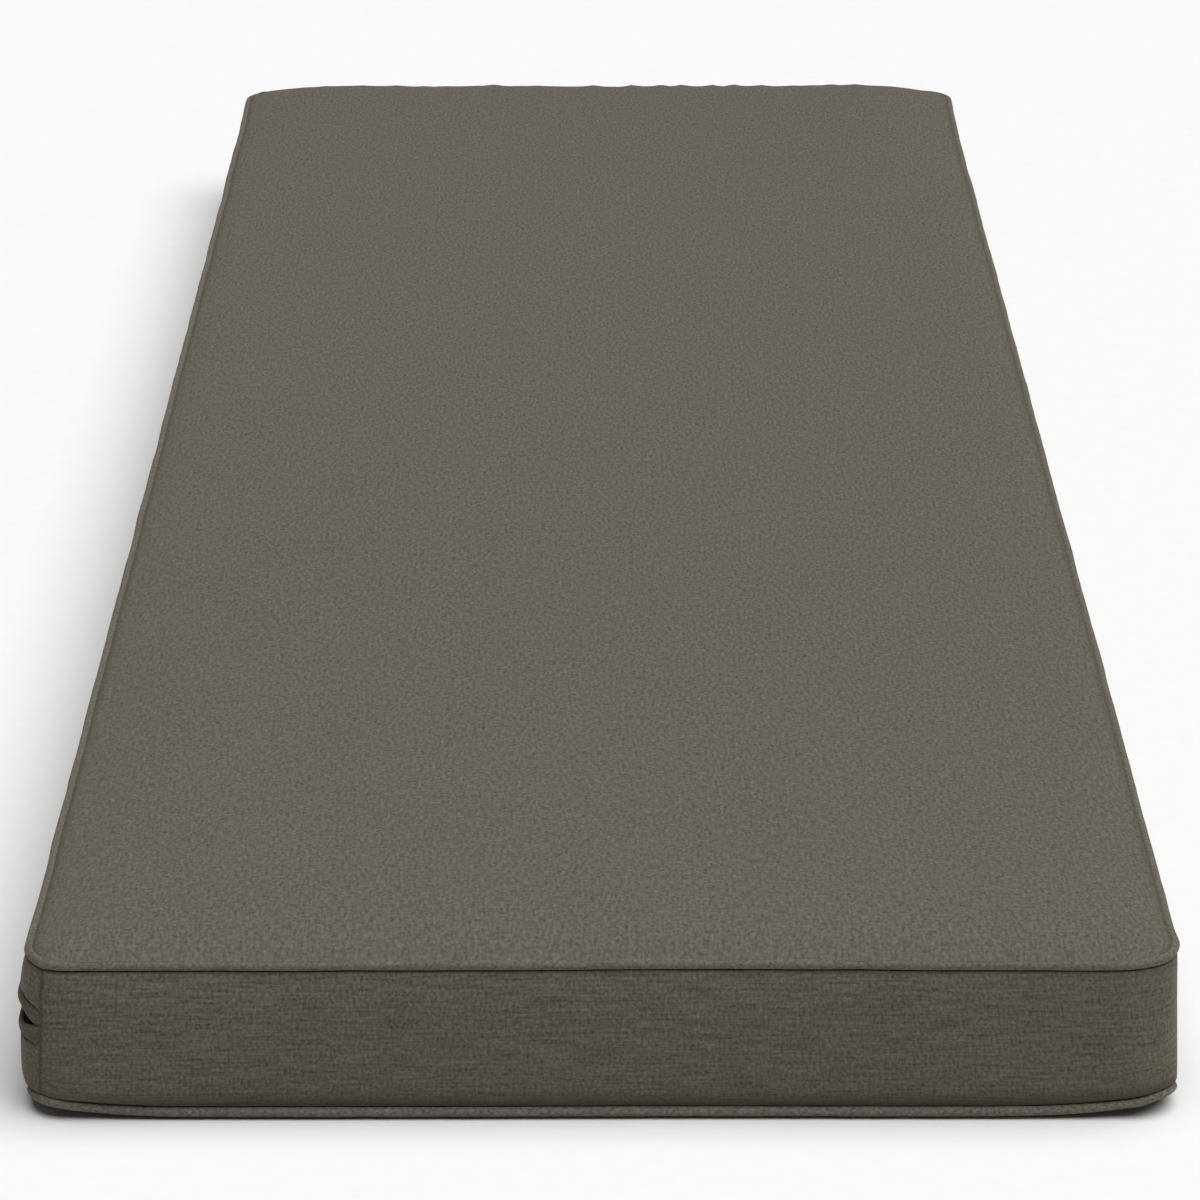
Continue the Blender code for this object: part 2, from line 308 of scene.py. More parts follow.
@dataclass(frozen=True)
class Places:
    """Places seen from above, in metres from the cushion's middle."""

    x: Array
    y: Array

    @staticmethod
    def grid(columns: Array, rows: Array) -> "Places":
        """The places of a grid, one row after another."""
        x, y = np.meshgrid(columns, rows)
        return Places(x.ravel(), y.ravel())

    def insets(self, half_x: float, half_y: float) -> tuple[Array, Array]:
        """Distances in from the sides and from the ends of a rectangle."""
        return half_x - np.abs(self.x), half_y - np.abs(self.y)

    def apart(self, x: float, y: float) -> Array:
        """Distances from one spot."""
        return np.hypot(self.x - x, self.y - y)

    def rows(self, z: Array) -> Array:
        """Rows of X, Y and Z at the given heights."""
        return np.column_stack([self.x, self.y, z])


def spread(half: float, steps: tuple[float, ...], pitch: float, extra: tuple[float, ...] = ()) -> Array:
    """Places of grid lines from -half to half, fine near the edges.

    Args:
        half: Half the width of the grid.
        steps: Distances of the fine lines from each edge, the first one 0.
        pitch: About how far apart the other lines are.
        extra: Further distances from the low edge only.

    Returns:
        The places in order.
    """
    low = [-half + step for step in sorted((*steps, *extra))]
    high = [half - step for step in reversed(steps)]
    count = max(2, round((high[0] - low[-1]) / pitch))
    middle = np.linspace(low[-1], high[0], count + 1)[1:-1]
    return np.array([*low, *middle, *high])


def border(columns: Array, rows: Array) -> Places:
    """The edge places of a grid, once round.

    Args:
        columns: Where its lines stand across the cushion.
        rows: Where they stand along it.

    Returns:
        The places in order from the front left corner.
    """
    wide, long = len(columns), len(rows)
    x = [columns, np.full(long - 1, columns[-1]), columns[-2::-1], np.full(long - 2, columns[0])]
    y = [np.full(wide, rows[0]), rows[1:], np.full(wide - 1, rows[-1]), rows[-2:0:-1]]
    return Places(np.concatenate(x), np.concatenate(y))


# ------------------------ finishes


@dataclass(frozen=True)
class HeatherCloth:
    """Upholstery cloth: a polyester and linen blend, plain-woven from melange yarns and piece-dyed.

    The mixed yarns give a soft heathered mottle, the slubs in the weft give long faint streaks, and the
    brushed face is matt with a little bloom where it is seen at a grazing angle.
    """

    name: str
    dark_yarn: str
    light_yarn: str
    turn: float = 0.0  # degrees, 45 for cloth cut on the bias
    thread: float = 1.5  # mm, drawn twice as coarse as the real 0.75 mm, which is too fine to show
    fibre: float = 1.25  # threads, size of the mixed fibres' mottle
    slub: float = 26.0  # mm, length of a thick place in the weft
    dash: float = 7.0  # mm, length of a warp thread's light and dark places
    cloud: Pair = (95.0, 60.0)  # mm, size of the dye's faint patches
    dimple: Pair = (16.0, 13.0)  # mm, size of the fine puckers next to a seam
    slub_share: float = 0.85  # how strongly the weft's thick places show
    dash_share: float = 0.55  # how strongly the warp shows
    fibre_share: float = 1.15  # how strongly the mixed fibres of both show
    cloud_share: float = 0.10
    contrast: float = 0.95
    relief: float = 0.22  # mm, height of the weave
    raised: tuple[float, ...] = (0.7, 0.7, 1.0)  # how much weft, warp and fibres raise it
    easing: float = 0.5  # mm, height of the fine puckers
    painted_seam_shade: float = 0.5  # how much painted shade darkens the cloth towards its dark yarn beside the seams
    roughness: float = 0.93
    gloss: float = 0.22
    sheen: float = 0.09
    sheen_roughness: float = 0.45
    bloom: str = "#ffeed2"  # the sheen's own tint

    def material(self) -> Material:
        """Make the cloth's material."""
        made, tree, shader = start_material(self.name)
        place = cloth_place(tree, self.turn)
        weft = self.streaks(tree, place, (self.slub, self.thread))
        warp = self.streaks(tree, place, (self.thread, self.dash))
        fibre = self.streaks(tree, place, (self.fibre * self.thread, self.fibre * self.thread))
        cloud = self.streaks(tree, place, self.cloud, detail=2.0)
        dimples = self.streaks(tree, place, self.dimple)
        # The seam attribute carries painted shade: the colour is drawn towards the dark yarn in the welts'
        # grooves and valleys, along the corner seams and above the lower welt. The same value eases in the
        # fine puckers.
        near = add_node(tree, "Attribute", attribute_name=SEAM_PAINTED_SHADE_AND_EASE).outputs["Fac"]
        painted_shade_factor, eased = (
            add_node(tree, "Math", {0: near, 1: other}, operation="MULTIPLY").outputs[0]
            for other in (self.painted_seam_shade, dimples)
        )
        yarns = (weft, self.slub_share), (warp, self.dash_share), (fibre, self.fibre_share)
        tone = self.blend(tree, (*yarns, (cloud, self.cloud_share)))
        colour = srgb(self.dark_yarn)
        for factor, yarn in ((tone, self.light_yarn), (painted_shade_factor, self.dark_yarn)):
            mixed = {"Factor": factor, MIX_FROM: colour, MIX_TO: srgb(yarn)}
            colour = add_node(tree, "Mix", mixed, data_type="RGBA").outputs[MIXED]
        weave = self.blend(tree, tuple(zip((weft, warp, fibre), self.raised)))
        normal = {}
        for height, strength, size in ((eased, 0.8, self.easing), (weave, 0.7, self.relief)):
            raised = {"Height": height, "Strength": strength, "Distance": size * MM}
            normal = {"Normal": add_node(tree, "Bump", raised | normal).outputs["Normal"]}
        gloss = {"Roughness": self.roughness, "Specular IOR Level": self.gloss}
        bloom = {"Sheen Weight": self.sheen, "Sheen Roughness": self.sheen_roughness}
        feed(shader, {"Base Color": colour, "Sheen Tint": srgb(self.bloom)} | normal | gloss | bloom)
        return made

    @staticmethod
    def streaks(tree: Tree, place: Socket, size: Pair, detail: float = 1.0) -> Socket:
        """Noise that is stretched along one set of threads.

        Args:
            tree: The material's tree.
            place: The place on the cloth in millimetres.
            size: Millimetres from one light place to the next, along the weft and across it.
            detail: How many finer layers it has.

        Returns:
            The noise's value, about 0.5 on average.
        """
        paced = add_node(tree, "Mapping", {"Vector": place, "Scale": (1 / size[0], 1 / size[1], 1.0)})
        grain = {"Vector": paced.outputs["Vector"], "Scale": 1.0, "Detail": detail, "Roughness": 0.55}
        return add_node(tree, "TexNoise", grain, noise_dimensions="2D").outputs["Fac"]

    def blend(self, tree: Tree, parts: tuple[tuple[Socket, float], ...]) -> Socket:
        """Add up noises around 0.5, each by its weight.

        Args:
            tree: The material's tree.
            parts: Each noise with its weight.

        Returns:
            The sum's socket.
        """
        value = 0.5 - 0.5 * self.contrast * sum(weight for _, weight in parts)
        for noise, weight in parts:
            terms = {0: noise, 1: weight * self.contrast, 2: value}
            value = add_node(tree, "Math", terms, operation="MULTIPLY_ADD").outputs[0]
        return value


@dataclass(frozen=True)
class ZipTape:
    """Polyester zip tape: a fine dyed twill, near black; the near black also serves as painted shade inside
    the slit, which makes it read as a dark gap.
    """

    name: str = "black polyester zip tape"
    colour: str = "#0d0d10"
    rib_colour: str = "#16161b"
    rib_pace: float = 0.35  # of the wave texture, whose ribs then stand 0.9 mm apart
    turn: float = 35.0  # degrees, the ribs' slant

    def material(self) -> Material:
        """Make the tape's material."""
        made, tree, shader = start_material(self.name)
        slant = {"Vector": cloth_place(tree, self.turn), "Scale": self.rib_pace, "Distortion": 0.6}
        ribs = add_node(tree, "TexWave", slant).outputs["Fac"]
        mixed = {"Factor": ribs, MIX_FROM: srgb(self.colour), MIX_TO: srgb(self.rib_colour)}
        colour = add_node(tree, "Mix", mixed, data_type="RGBA").outputs[MIXED]
        bump = add_node(tree, "Bump", {"Height": ribs, "Strength": 0.5, "Distance": 0.15 * MM})
        feed(shader, {"Base Color": colour, "Normal": bump.outputs["Normal"], "Roughness": 0.85})
        return made


@dataclass(frozen=True)
class StudioPaper:
    """Seamless background paper: matt white board with a faint pulp mottle."""

    name: str = "white seamless paper"
    colour: str = "#dedede"
    pulp_colour: str = "#e2e2e2"
    mottle: float = 90.0  # patches of pulp in a metre, each about 11 mm across

    def material(self) -> Material:
        """Make the paper's material."""
        made, tree, shader = start_material(self.name)
        place = add_node(tree, "TexCoord").outputs["Object"]
        patches = {"Vector": place, "Scale": self.mottle, "Detail": 3.0}
        pulp = add_node(tree, "TexNoise", patches).outputs["Fac"]
        mixed = {"Factor": pulp, MIX_FROM: srgb(self.colour), MIX_TO: srgb(self.pulp_colour)}
        colour = add_node(tree, "Mix", mixed, data_type="RGBA").outputs[MIXED]
        feed(shader, {"Base Color": colour, "Roughness": 0.95, "Specular IOR Level": 0.1})
        return made


# ------------------------ the sewn pattern


@dataclass(frozen=True)
class Corner:
    """How one corner came out of the sewing, in millimetres."""

    sign_x: int
    sign_y: int
    upper_radius: float  # of the upper welt's centre line, seen from above
    lower_radius: float
    lift: float  # how far the lower seam stands off the floor here
    lift_reach: float
    fullness: float  # how far the boxing swells here
    fullness_reach: float
    foot: float  # how much further out the boxing's lower end stands here
    foot_drop: float  # how far it comes down over the lower welt
    foot_reach: float = 70.0


CORNERS = (
    Corner(-1, FRONT, 24.0, 18.0, 6.5, 43.0, 5.2, 110.0, 2.2, 1.9),
    Corner(1, FRONT, 32.0, 18.0, 8.4, 49.0, 0.2, 85.0, 3.2, 1.9),
    Corner(-1, BACK, 28.5, 20.0, 5.0, 44.0, 3.8, 100.0, 1.0, 0.5),
    Corner(1, BACK, 25.0, 20.0, 6.0, 46.0, 3.8, 100.0, 1.0, 0.5),
)


@dataclass(frozen=True)
class Settling:
    """How the filled cushion has settled out of its pattern, in millimetres. Bumps run along X or Y."""

    forward: float = 0.8  # how far the front end stands out
    dent: Bump = Bump(1.85, 50.0, 95.0)  # how far it falls back in its middle
    front_reach: float = 60.0
    front_low_share: float = 0.3  # how much of that is left at the lower seam
    left_flare: Bumps = (Bump(-1.0, -882.0, 28.0), Bump(-0.7, 885.0, 45.0))
    right_flare: Bumps = (Bump(0.9, -893.0, 18.0), Bump(0.5, -912.0, 30.0), Bump(1.7, 885.0, 60.0))
    right_ease: float = 0.1  # how far the right side lies in
    side_reach: float = 40.0
    ear: float = 1.8  # how far the front right corner's tip is drawn out
    ear_inset: Pair = (5.0, 8.0)
    ear_way: Pair = (0.75, -0.66)
    ear_reach: float = 14.0
    kink: float = 2.3  # how far the front corner seam pokes forwards
    kink_reach: float = 5.0
    kink_low_share: float = 0.7
    wander: float = 0.2  # unevenness of the seams, seen from above
    drift: float = 0.18  # and of their height
    edge_reach: float = 50.0
    wander_waves: WaveField = WaveField(70, 260, 11)
    drift_waves: WaveField = WaveField(60, 220, 12)


@dataclass(frozen=True)
class CushionPattern:
    """The shape that the cover was cut and sewn to, and how it has settled. Sizes are in metres."""

    half_x: float = 302.35 * MM  # the upper welt's centre line: 24 inches over the welts
    half_y: float = 911.95 * MM  # 72 inches over the welts
    welt_radius: float = 2.75 * MM
    groove_radius: float = 2.97 * MM  # rounding draws it in until it touches the welt
    top_z: float = 88.3 * MM  # height of the upper welt's centre
    bottom_z: float = 3.8 * MM
    bottom_spread: float = 1.5 * MM
    panel_inset: float = 1.45 * MM
    panel_edge_z: float = 90.1 * MM
    tight_inset: float = 4.0 * MM  # rings further in than this have rounder corners again
    side_roll: float = 2.4 * MM
    side_roll_reach: float = 5.5 * MM
    end_rolls: Pair = (11.4 * MM, 9.8 * MM)  # at the front and at the back
    end_roll_reach: Pair = (14.0 * MM, 8.5 * MM)
    middle_roll: float = 10.3 * MM
    roll_settling: float = 350.0 * MM
    corner_reach: float = 28.0 * MM
    corner_reach_growth: float = 0.13
    back_reach: float = 6.0 * MM  # how much softer the back corners are
    back_power: float = 0.9  # and how much rounder
    back_fade: float = 150.0 * MM
    swell: float = 3.8 * MM
    swell_powers: Pair = (3.5, 8.0)  # how boxy the swell is above and below
    seam_top: Pair = (1.70 * MM, -2.43 * MM)
    seam_bottom: Pair = (1.20 * MM, 3.15 * MM)
    seam_hold: float = 0.45  # share of the swell that a corner seam holds down
    seam_hold_reach: float = 14.0 * MM
    seam_gaps: Pair = (4.0 * MM, 5.0 * MM)  # from its ends to the welts' centres
    seam_onset: float = 3.0  # how soon after its ends it is fully drawn in
    seam_zone: Pair = (20.0 * MM, 15.0 * MM)  # how far it pulls outwards and beside it
    seam_valley: Bumps = (Bump(0.7, 0.0, 1.1), Bump(0.2, 0.0, 5.0))  # mm, how far it draws in
    # How unevenly its stitches pull: share, radians in a metre and start
    seam_stitches: tuple[tuple[float, float, float], ...] = ((0.35, 560.0, 0.0), (0.25, 1310.0, 2.0))
    corner_seam: float = 3.7 * MM  # from the panel's left edge, at both ends of the placket
    seam_step: float = 0.6 * MM
    upper_crease: float = 66.3 * MM
    lower_crease: float = 42.6 * MM
    slit_z: float = 53.1 * MM
    crease_dips: Pair = (4.0 * MM, 1.2 * MM)  # of the upper and the lower one at the seam
    crease_dip_reach: float = 12.0 * MM
    recess_end: float = 7.0 * MM  # how far from its ends the recess is as deep as elsewhere
    recess_power: float = 0.7
    resting_inset: float = 60.0 * MM  # from the lower seam to the flat face that it rests on
    resting_power: float = 1.3
    settling: Settling = Settling()

    @property
    def panel_half_x(self) -> float:
        """Half the width of the flat top panel."""
        return self.half_x - self.panel_inset

    @property
    def panel_half_y(self) -> float:
        """Half the length of the flat top panel."""
        return self.half_y - self.panel_inset

    @property
    def centre(self) -> Pair:
        """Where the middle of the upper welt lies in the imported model."""
        low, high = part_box("top_piping")
        return (low.x + high.x) / 2, (low.y + high.y) / 2

    def by_corner(self, at: Places, value: str) -> Array:
        """Read a length of the nearest corner.

        Args:
            at: Places on the flat panel.
            value: The name of one of the corner's lengths.

        Returns:
            That length at each place, in metres.
        """
        picked = np.zeros(at.x.shape)
        for corner in CORNERS:
            here = ((at.x < 0) == (corner.sign_x < 0)) & ((at.y < 0) == (corner.sign_y < 0))
            picked = np.where(here, getattr(corner, value) * MM, picked)
        return picked

    def corner_fade(self, at: Places, corner: Corner, reach: float) -> Array:
        """How near places are to a corner, from 1 there to 0, for a reach in millimetres."""
        return bell(at.apart(corner.sign_x * self.half_x, corner.sign_y * self.half_y), reach * MM)

    def near_corners(self, at: Places, value: str, reach: str, less: float = 0.0) -> Array:
        """Add up a length of the four corners, each fading away from its own.

        Args:
            at: Places on the flat panel.
            value: The name of the corners' length.
            reach: The name of the reach that it fades over.
            less: What is taken off each corner's length first, in metres.

        Returns:
            The sum at each place, in metres.
        """
        return sum(
            (getattr(corner, value) * MM - less) * self.corner_fade(at, corner, getattr(corner, reach))
            for corner in CORNERS
        )

    def away(self, at: Places) -> tuple[Array, Array, Array]:
        """How far places on the flat panel reach into their corner, with the corner's square made round.

        Args:
            at: Places on the flat panel.

        Returns:
            The share across and the share along, with their signs, and the radius of the panel's corner.
        """
        radius = self.by_corner(at, "upper_radius") - self.panel_inset
        across = np.clip((np.abs(at.x) - (self.panel_half_x - radius)) / radius, 0.0, None)
        along = np.clip((np.abs(at.y) - (self.panel_half_y - radius)) / radius, 0.0, None)
        away_x = np.copysign(across * np.sqrt(1 - along**2 / 2), at.x)
        away_y = np.copysign(along * np.sqrt(1 - across**2 / 2), at.y)
        return away_x, away_y, radius

    def plan(self, at: Places, offset: Array | float, z: Array | float) -> Places:
        """Where places of the flat panel come to lie on a ring of the cover, seen from above.

        Args:
            at: Places on the flat panel.
            offset: The ring's distance out from the welts' centre line.
            z: The ring's height.

        Returns:
            The moved places.
        """
        away_x, away_y, flat_radius = self.away(at)
        share = np.clip((self.top_z - z) / (self.top_z - self.bottom_z), 0.0, 1.0)
        upper, lower = self.by_corner(at, "upper_radius"), self.by_corner(at, "lower_radius")
        rounder = np.where(offset > -self.tight_inset, offset, -offset / 2)
        radius = upper + (lower - upper) * share + rounder
        share_x = np.clip(at.x / (self.panel_half_x - flat_radius), -1.0, 1.0)
        share_y = np.clip(at.y / (self.panel_half_y - flat_radius), -1.0, 1.0)
        return Places(
            (self.half_x + offset - radius) * share_x + radius * away_x,
            (self.half_y + offset - radius) * share_y + radius * away_y,
        )

    def outward(self, at: Places) -> tuple[Array, Array]:
        """The outward direction, across and along, at places on the flat panel's edge."""
        away_x, away_y, _ = self.away(at)
        size = np.maximum(np.hypot(away_x, away_y), 1e-9)
        return away_x / size, away_y / size

    def crown(self, at: Places) -> Array:
        """Height of the top panel above its own edge.

        Args:
            at: Places on the flat panel.

        Returns:
            The height at each place.
        """
        side, end = at.insets(self.panel_half_x, self.panel_half_y)
        low = self.side_roll * approach(side, self.side_roll_reach) * approach(end, self.side_roll_reach)
        roll = np.where(at.y < 0, *self.end_rolls)
        reach = np.where(at.y < 0, *self.end_roll_reach)
        settled = self.middle_roll + (roll - self.middle_roll) * np.exp(-end / self.roll_settling)
        at_back = np.exp(-end / self.back_fade) * (at.y > 0)
        corner = self.corner_reach + self.corner_reach_growth * end + self.back_reach * at_back
        across = 1 - np.exp(-((np.maximum(side, 0.0) / corner) ** (1 + self.back_power * at_back)))
        return low + settled * approach(end, reach) * across

    def lift(self, at: Places) -> Array:
        """How far the lower seam stands above its height along the middle of a side."""
        return self.near_corners(at, "lift", "lift_reach")

    def fullness(self, at: Places) -> Array:
        """How far the boxing swells out at its middle height.

        Args:
            at: Edge places on the flat panel.

        Returns:
            The distance at each place.
        """
        extra = self.near_corners(at, "fullness", "fullness_reach", less=self.swell)
        held = sum(bell(self.from_seam(at, end), self.seam_hold_reach) for end in ENDS)
        return (self.swell + extra) * (1 - self.seam_hold * np.clip(held, 0.0, 1.0))

    def boxing_end(self, at: Places) -> Array:
        """Height of the boxing's lower end, which closes down over the welt near the corners."""
        drop = self.near_corners(at, "foot_drop", "foot_reach")
        return self.bottom_z + self.lift(at) + self.seam_bottom[1] - drop

    def boxing_offset(self, at: Places, z: Array) -> Array:
        """How far the boxing stands out from the welts' centre line.

        Args:
            at: Edge places on the flat panel.
            z: The height on the boxing.

        Returns:
            The distance at each place.
        """
        top = self.top_z + self.seam_top[1]
        share = np.clip((top - z) / (top - self.boxing_end(at)), 0.0, 1.0)
        curve = 1 - np.abs(2 * share - 1) ** np.where(share < 0.5, *self.swell_powers)
        straight = self.seam_top[0] + (self.seam_bottom[0] - self.seam_top[0]) * share
        foot = self.near_corners(at, "foot", "foot_reach") * share**2
        return straight + foot + self.fullness(at) * curve

    def seam_edge(self, end: int) -> Places:
        """The edge place of the flat panel where the corner seam at one end of the placket starts."""
        x, y = -self.panel_half_x + self.corner_seam, end * self.panel_half_y
        return Places(np.array([x]), np.array([y]))

    def seam_place(self, end: int) -> Pair:
        """X and Y of the corner seam at one end of the placket, on the welts' centre line."""
        seam = self.plan(self.seam_edge(end), 0.0, self.top_z)
        return float(seam.x[0]), float(seam.y[0])

    def from_seam(self, at: Places, end: int) -> Array:
        """Distances seen from above between edge places and a corner seam of the placket."""
        return self.plan(at, 0.0, self.top_z).apart(*self.seam_place(end))

    def creases(self, at: Places) -> tuple[Array, Array]:
        """Heights of the placket's upper and lower creases at edge places."""
        dip = bell(self.from_seam(at, FRONT), self.crease_dip_reach)
        return self.upper_crease - self.crease_dips[0] * dip, self.lower_crease - self.crease_dips[1] * dip

    def from_ends(self, at: Places) -> Array:
        """Distances between edge places and the nearer end of the placket."""
        return np.minimum(self.from_seam(at, FRONT), self.from_seam(at, BACK))

    def recess_share(self, at: Places) -> Array:
        """How deep the placket's recess is at edge places: 0 outside it and 1 away from its two ends."""
        deep = np.clip(self.from_ends(at) / self.recess_end, 0.0, 1.0) ** self.recess_power
        return self.on_placket(at.x) * deep

    def on_placket(self, x: Array) -> Array:
        """Whether edge places lie between the two corner seams of the placket's side."""
        return x <= -self.panel_half_x + self.corner_seam + self.seam_step / 2

    def rising(self, inset: Array | float) -> Array:
        """Share of the lower seam's height that the underside has at a distance inside it."""
        return np.clip(1 - inset / self.resting_inset, 0.0, 1.0) ** self.resting_power

    def settled(self, points: Array) -> Array:
        """Move points the way the sewn cushion has settled out of its pattern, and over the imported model.

        Args:
            points: Rows of X, Y and Z in the pattern's own place.

        Returns:
            The moved rows.
        """
        x, y, z = points.T
        at, how = Places(x, y), self.settling
        height = np.clip(z / self.top_z, 0.0, 1.0)
        side, end = at.insets(self.half_x, self.half_y)
        upright = how.front_low_share + (1 - how.front_low_share) * height
        at_front = bell(y + self.half_y, how.front_reach * MM) * upright
        flare = np.where(x < 0, total(how.left_flare, y), total(how.right_flare, y) - how.right_ease)
        at_side = bell(side, how.side_reach * MM) * height**2
        at_edge = np.clip(1 - approach(np.minimum(side, end), how.edge_reach * MM), 0.0, 1.0) * height
        wander, drift = how.wander_waves.at(x, y), how.drift_waves.at(x, y)
        on_side = side < end
        tip = at.apart(self.half_x - how.ear_inset[0] * MM, -self.half_y + how.ear_inset[1] * MM)
        ear = how.ear * bell(tip, how.ear_reach * MM) * height**3
        upright = how.kink_low_share + (1 - how.kink_low_share) * height
        kink = how.kink * np.exp(-at.apart(*self.seam_place(FRONT)) / (how.kink_reach * MM)) * upright
        moved_x = flare * at_side + how.wander * np.where(on_side, np.sign(x) * wander, 0.0) * at_edge
        moved_y = how.wander * np.where(on_side, 0.0, np.sign(y) * drift) * at_edge
        moved_y += (how.dent.at(x) - how.forward) * at_front - kink
        moved_x += how.ear_way[0] * ear
        moved_y += how.ear_way[1] * ear
        moved = np.column_stack([moved_x, moved_y, how.drift * drift * at_edge]) * MM
        return points + moved + np.array([*self.centre, 0.0])

    def seam_pull(self, points: Array) -> Array:
        """Draw the boxing in along the two corner seams, before it has settled.

        Args:
            points: Rows of X, Y and Z in the pattern's own place.

        Returns:
            The moved rows.
        """
        result, z = points.copy(), points[:, 2]
        top, bottom = self.top_z - self.seam_gaps[0], self.bottom_z + self.seam_gaps[1]
        depth = np.clip((top - z) / (top - bottom), 0.0, 1.0)
        between = np.clip(self.seam_onset * np.sin(math.pi * depth), 0.0, 1.0)
        tight = 1 + sum(share * np.sin(z * pace + start) for share, pace, start in self.seam_stitches)
        for end in ENDS:
            normal = np.array(self.outward(self.seam_edge(end)))[:, 0]
            apart = points[:, :2] - np.array(self.seam_place(end))
            beside = apart @ np.array([-normal[1], normal[0]])
            near = (np.abs(apart @ normal) < self.seam_zone[0]) & (np.abs(beside) < self.seam_zone[1])
            pulled = np.where(near, total(self.seam_valley, beside) * MM * between * tight, 0.0)
            result[:, :2] -= np.outer(pulled, normal)
        return result


# ------------------------ filled cover


@dataclass
class FilledCover:
    """The filled cushion: crowned top panel, seam grooves, boxing with the placket's recess, underside."""

    pattern: CushionPattern
    name: str = "filled_cushion"
    edge_steps: tuple[float, ...] = (0.0, 2.0 * MM, 5.2 * MM, 8.5 * MM, 14 * MM, 21 * MM, 30 * MM, 40 * MM)
    left_step: float = 0.9 * MM  # one more line of the grid, where the panel meets the left welt
    pitch_across: float = 9.5 * MM
    pitch_along: float = 20.0 * MM
    hem_angles: Pair = (72.0, 130.0)  # where the panel meets the welt, at the ends and sides
    hem_play: float = 0.03 * MM  # between the hem and the welt
    hem_hold: float = 0.12 * MM  # how much closer the hem is drawn at the ends
    tuck_angles: Pair = (58.0, 165.0)  # where the hem goes in, at the ends and sides
    tuck_share: float = 0.78  # of the groove's radius, at the ends
    end_power: float = 1.5  # how late the corners change from a side's hem to an end's
    groove_top: tuple[float, ...] = (210.0, 255.0, 300.0)  # degrees, 0 outwards and 90 up
    groove_bottom: tuple[float, ...] = (95.0, 138.0, 180.0, 222.0, 262.0)
    rows_above: tuple[float, ...] = (0.10, 0.25, 0.45, 0.68, 0.88)
    rows_below: tuple[float, ...] = (0.22, 0.48, 0.70, 0.86, 0.95)
    rows_between: tuple[float, ...] = (0.25, 0.50, 0.75)
    # Each crease: distance above the crease or into the recess, and the share of the recess's depth there
    crease_profile: tuple[Pair, ...] = (
        (2.2 * MM, 0.0), (0.8 * MM, 0.12), (0.0, 0.45), (-0.6 * MM, 1.0)
    )
    recess_depth: float = 3.4 * MM
    slit_depth: float = 6.5 * MM
    taped: float = 0.75  # share of the recess's depth from which its floor is zip tape
    grain_line: Pair = (4.0 * MM, 45.0 * MM)  # out and up, where the boxing's cloth is measured
    underside_insets: tuple[float, ...] = (9.0 * MM, 26.0 * MM)
    looseness: float = 0.35 * MM  # broad unevenness of the top panel
    looseness_reach: float = 40.0 * MM
    loose_waves: WaveField = WaveField(150, 420, 21)
    cap: float = 1.4 * MM  # how far the simulation may move a point
    frames: int = 20
    pucker: float = 0.55 * MM
    pucker_waves: WaveField = WaveField(19, 46, 31, 16)
    pucker_fade: float = 14.0 * MM
    pucker_gap: float = 3.5 * MM  # from the welt's centre to the first puckers
    pucker_rise: float = 4.0 * MM
    pucker_patches: tuple[float, ...] = (0.55, 0.5, 0.1, 1.6)  # their mean, swing, least and most height
    patch_waves: WaveField = WaveField(110, 260, 32)
    panel_over: float = 2.2 * MM  # points this far above the welt's centre are on the top panel
    # Painted shade in the valley beside the upper welt, as shares of the full painted shade
    left_valley: Bumps = (Bump(1.5, 0.0, 2.4), Bump(0.15, 0.0, 9.0))
    right_valley: Bumps = (Bump(1.15, 0.0, 1.9),)
    end_valley: Bump = Bump(0.12, 0.0, 6.0)
    # A painted dark line along the corner seams, as a share of the full painted shade
    seam_valley: Bump = Bump(1.6, 0.0, 0.9)
    low_valley: Bump = Bump(1.7, 4.0, 5.0)  # painted shade above the lower welt
    low_valley_lost: Bump = Bump(1.2, 0.0, 45.0)  # how much of that painted shade is lost towards the front left corner
    hidden_hem: float = 0.9  # painted shade taken off the tuck at the ends, as the hem lies smooth there
    least_shade: float = 0.02  # a fainter valley isn't eased in
    hem_width: float = 1.0 * MM  # sewn down along the panel's edge
    seam_width: float = 5.0 * MM  # sewn down beside a corner seam
    crease_width: float = 1.8 * MM  # sewn down above and below the placket
    back_pucker: float = 1.5 * MM
    back_pucker_at: Bump = Bump(1.0, -12.0, 9.0)  # along Y, from the back seam
    back_pucker_reach: float = 5.5
    back_sag: Bump = Bump(0.3, 55.0, 90.0)
    # The puckers along the back seam: mm from the middle, and height as a share of the largest
    back_puckers: tuple[Pair, ...] = (
        (-239.0, 0.3), (-206.0, 0.4), (-175.0, 0.6), (-142.0, -0.7), (-91.0, 0.7), (-77.0, -0.4),
        (-53.0, 0.3), (-4.0, 0.7), (29.0, 1.1), (54.5, 1.0), (72.0, 1.1), (99.0, 1.2),
        (117.0, 1.1), (142.0, 0.6), (169.0, 0.4), (202.0, 0.8), (225.0, 0.5),
    )

    def __post_init__(self) -> None:
        """Lay out the grid of the flat panel and number its points."""
        pattern = self.pattern
        extra = (self.left_step, pattern.corner_seam, pattern.corner_seam + pattern.seam_step)
        self.columns = spread(pattern.panel_half_x, self.edge_steps, self.pitch_across, extra)
        self.rows = spread(pattern.panel_half_y, self.edge_steps, self.pitch_along)
        self.edge = border(self.columns, self.rows)
        self.top_count = len(self.columns) * len(self.rows)
        self.ring_count = len(self.edge.x)
        self.at_end = np.abs(pattern.outward(self.edge)[1])
        # By the numbers of the rings: the boxing, and the strips between rings that are the recess's floor
        above = len(self.groove_top) + 1
        floor = above + len(self.rows_above) + len(self.crease_profile)
        below = floor + len(self.rows_between) + len(self.crease_profile) + len(self.rows_below)
        self.boxing = range(above + 1, below + 1)
        self.floor = range(floor, floor + len(self.rows_between) + 2)

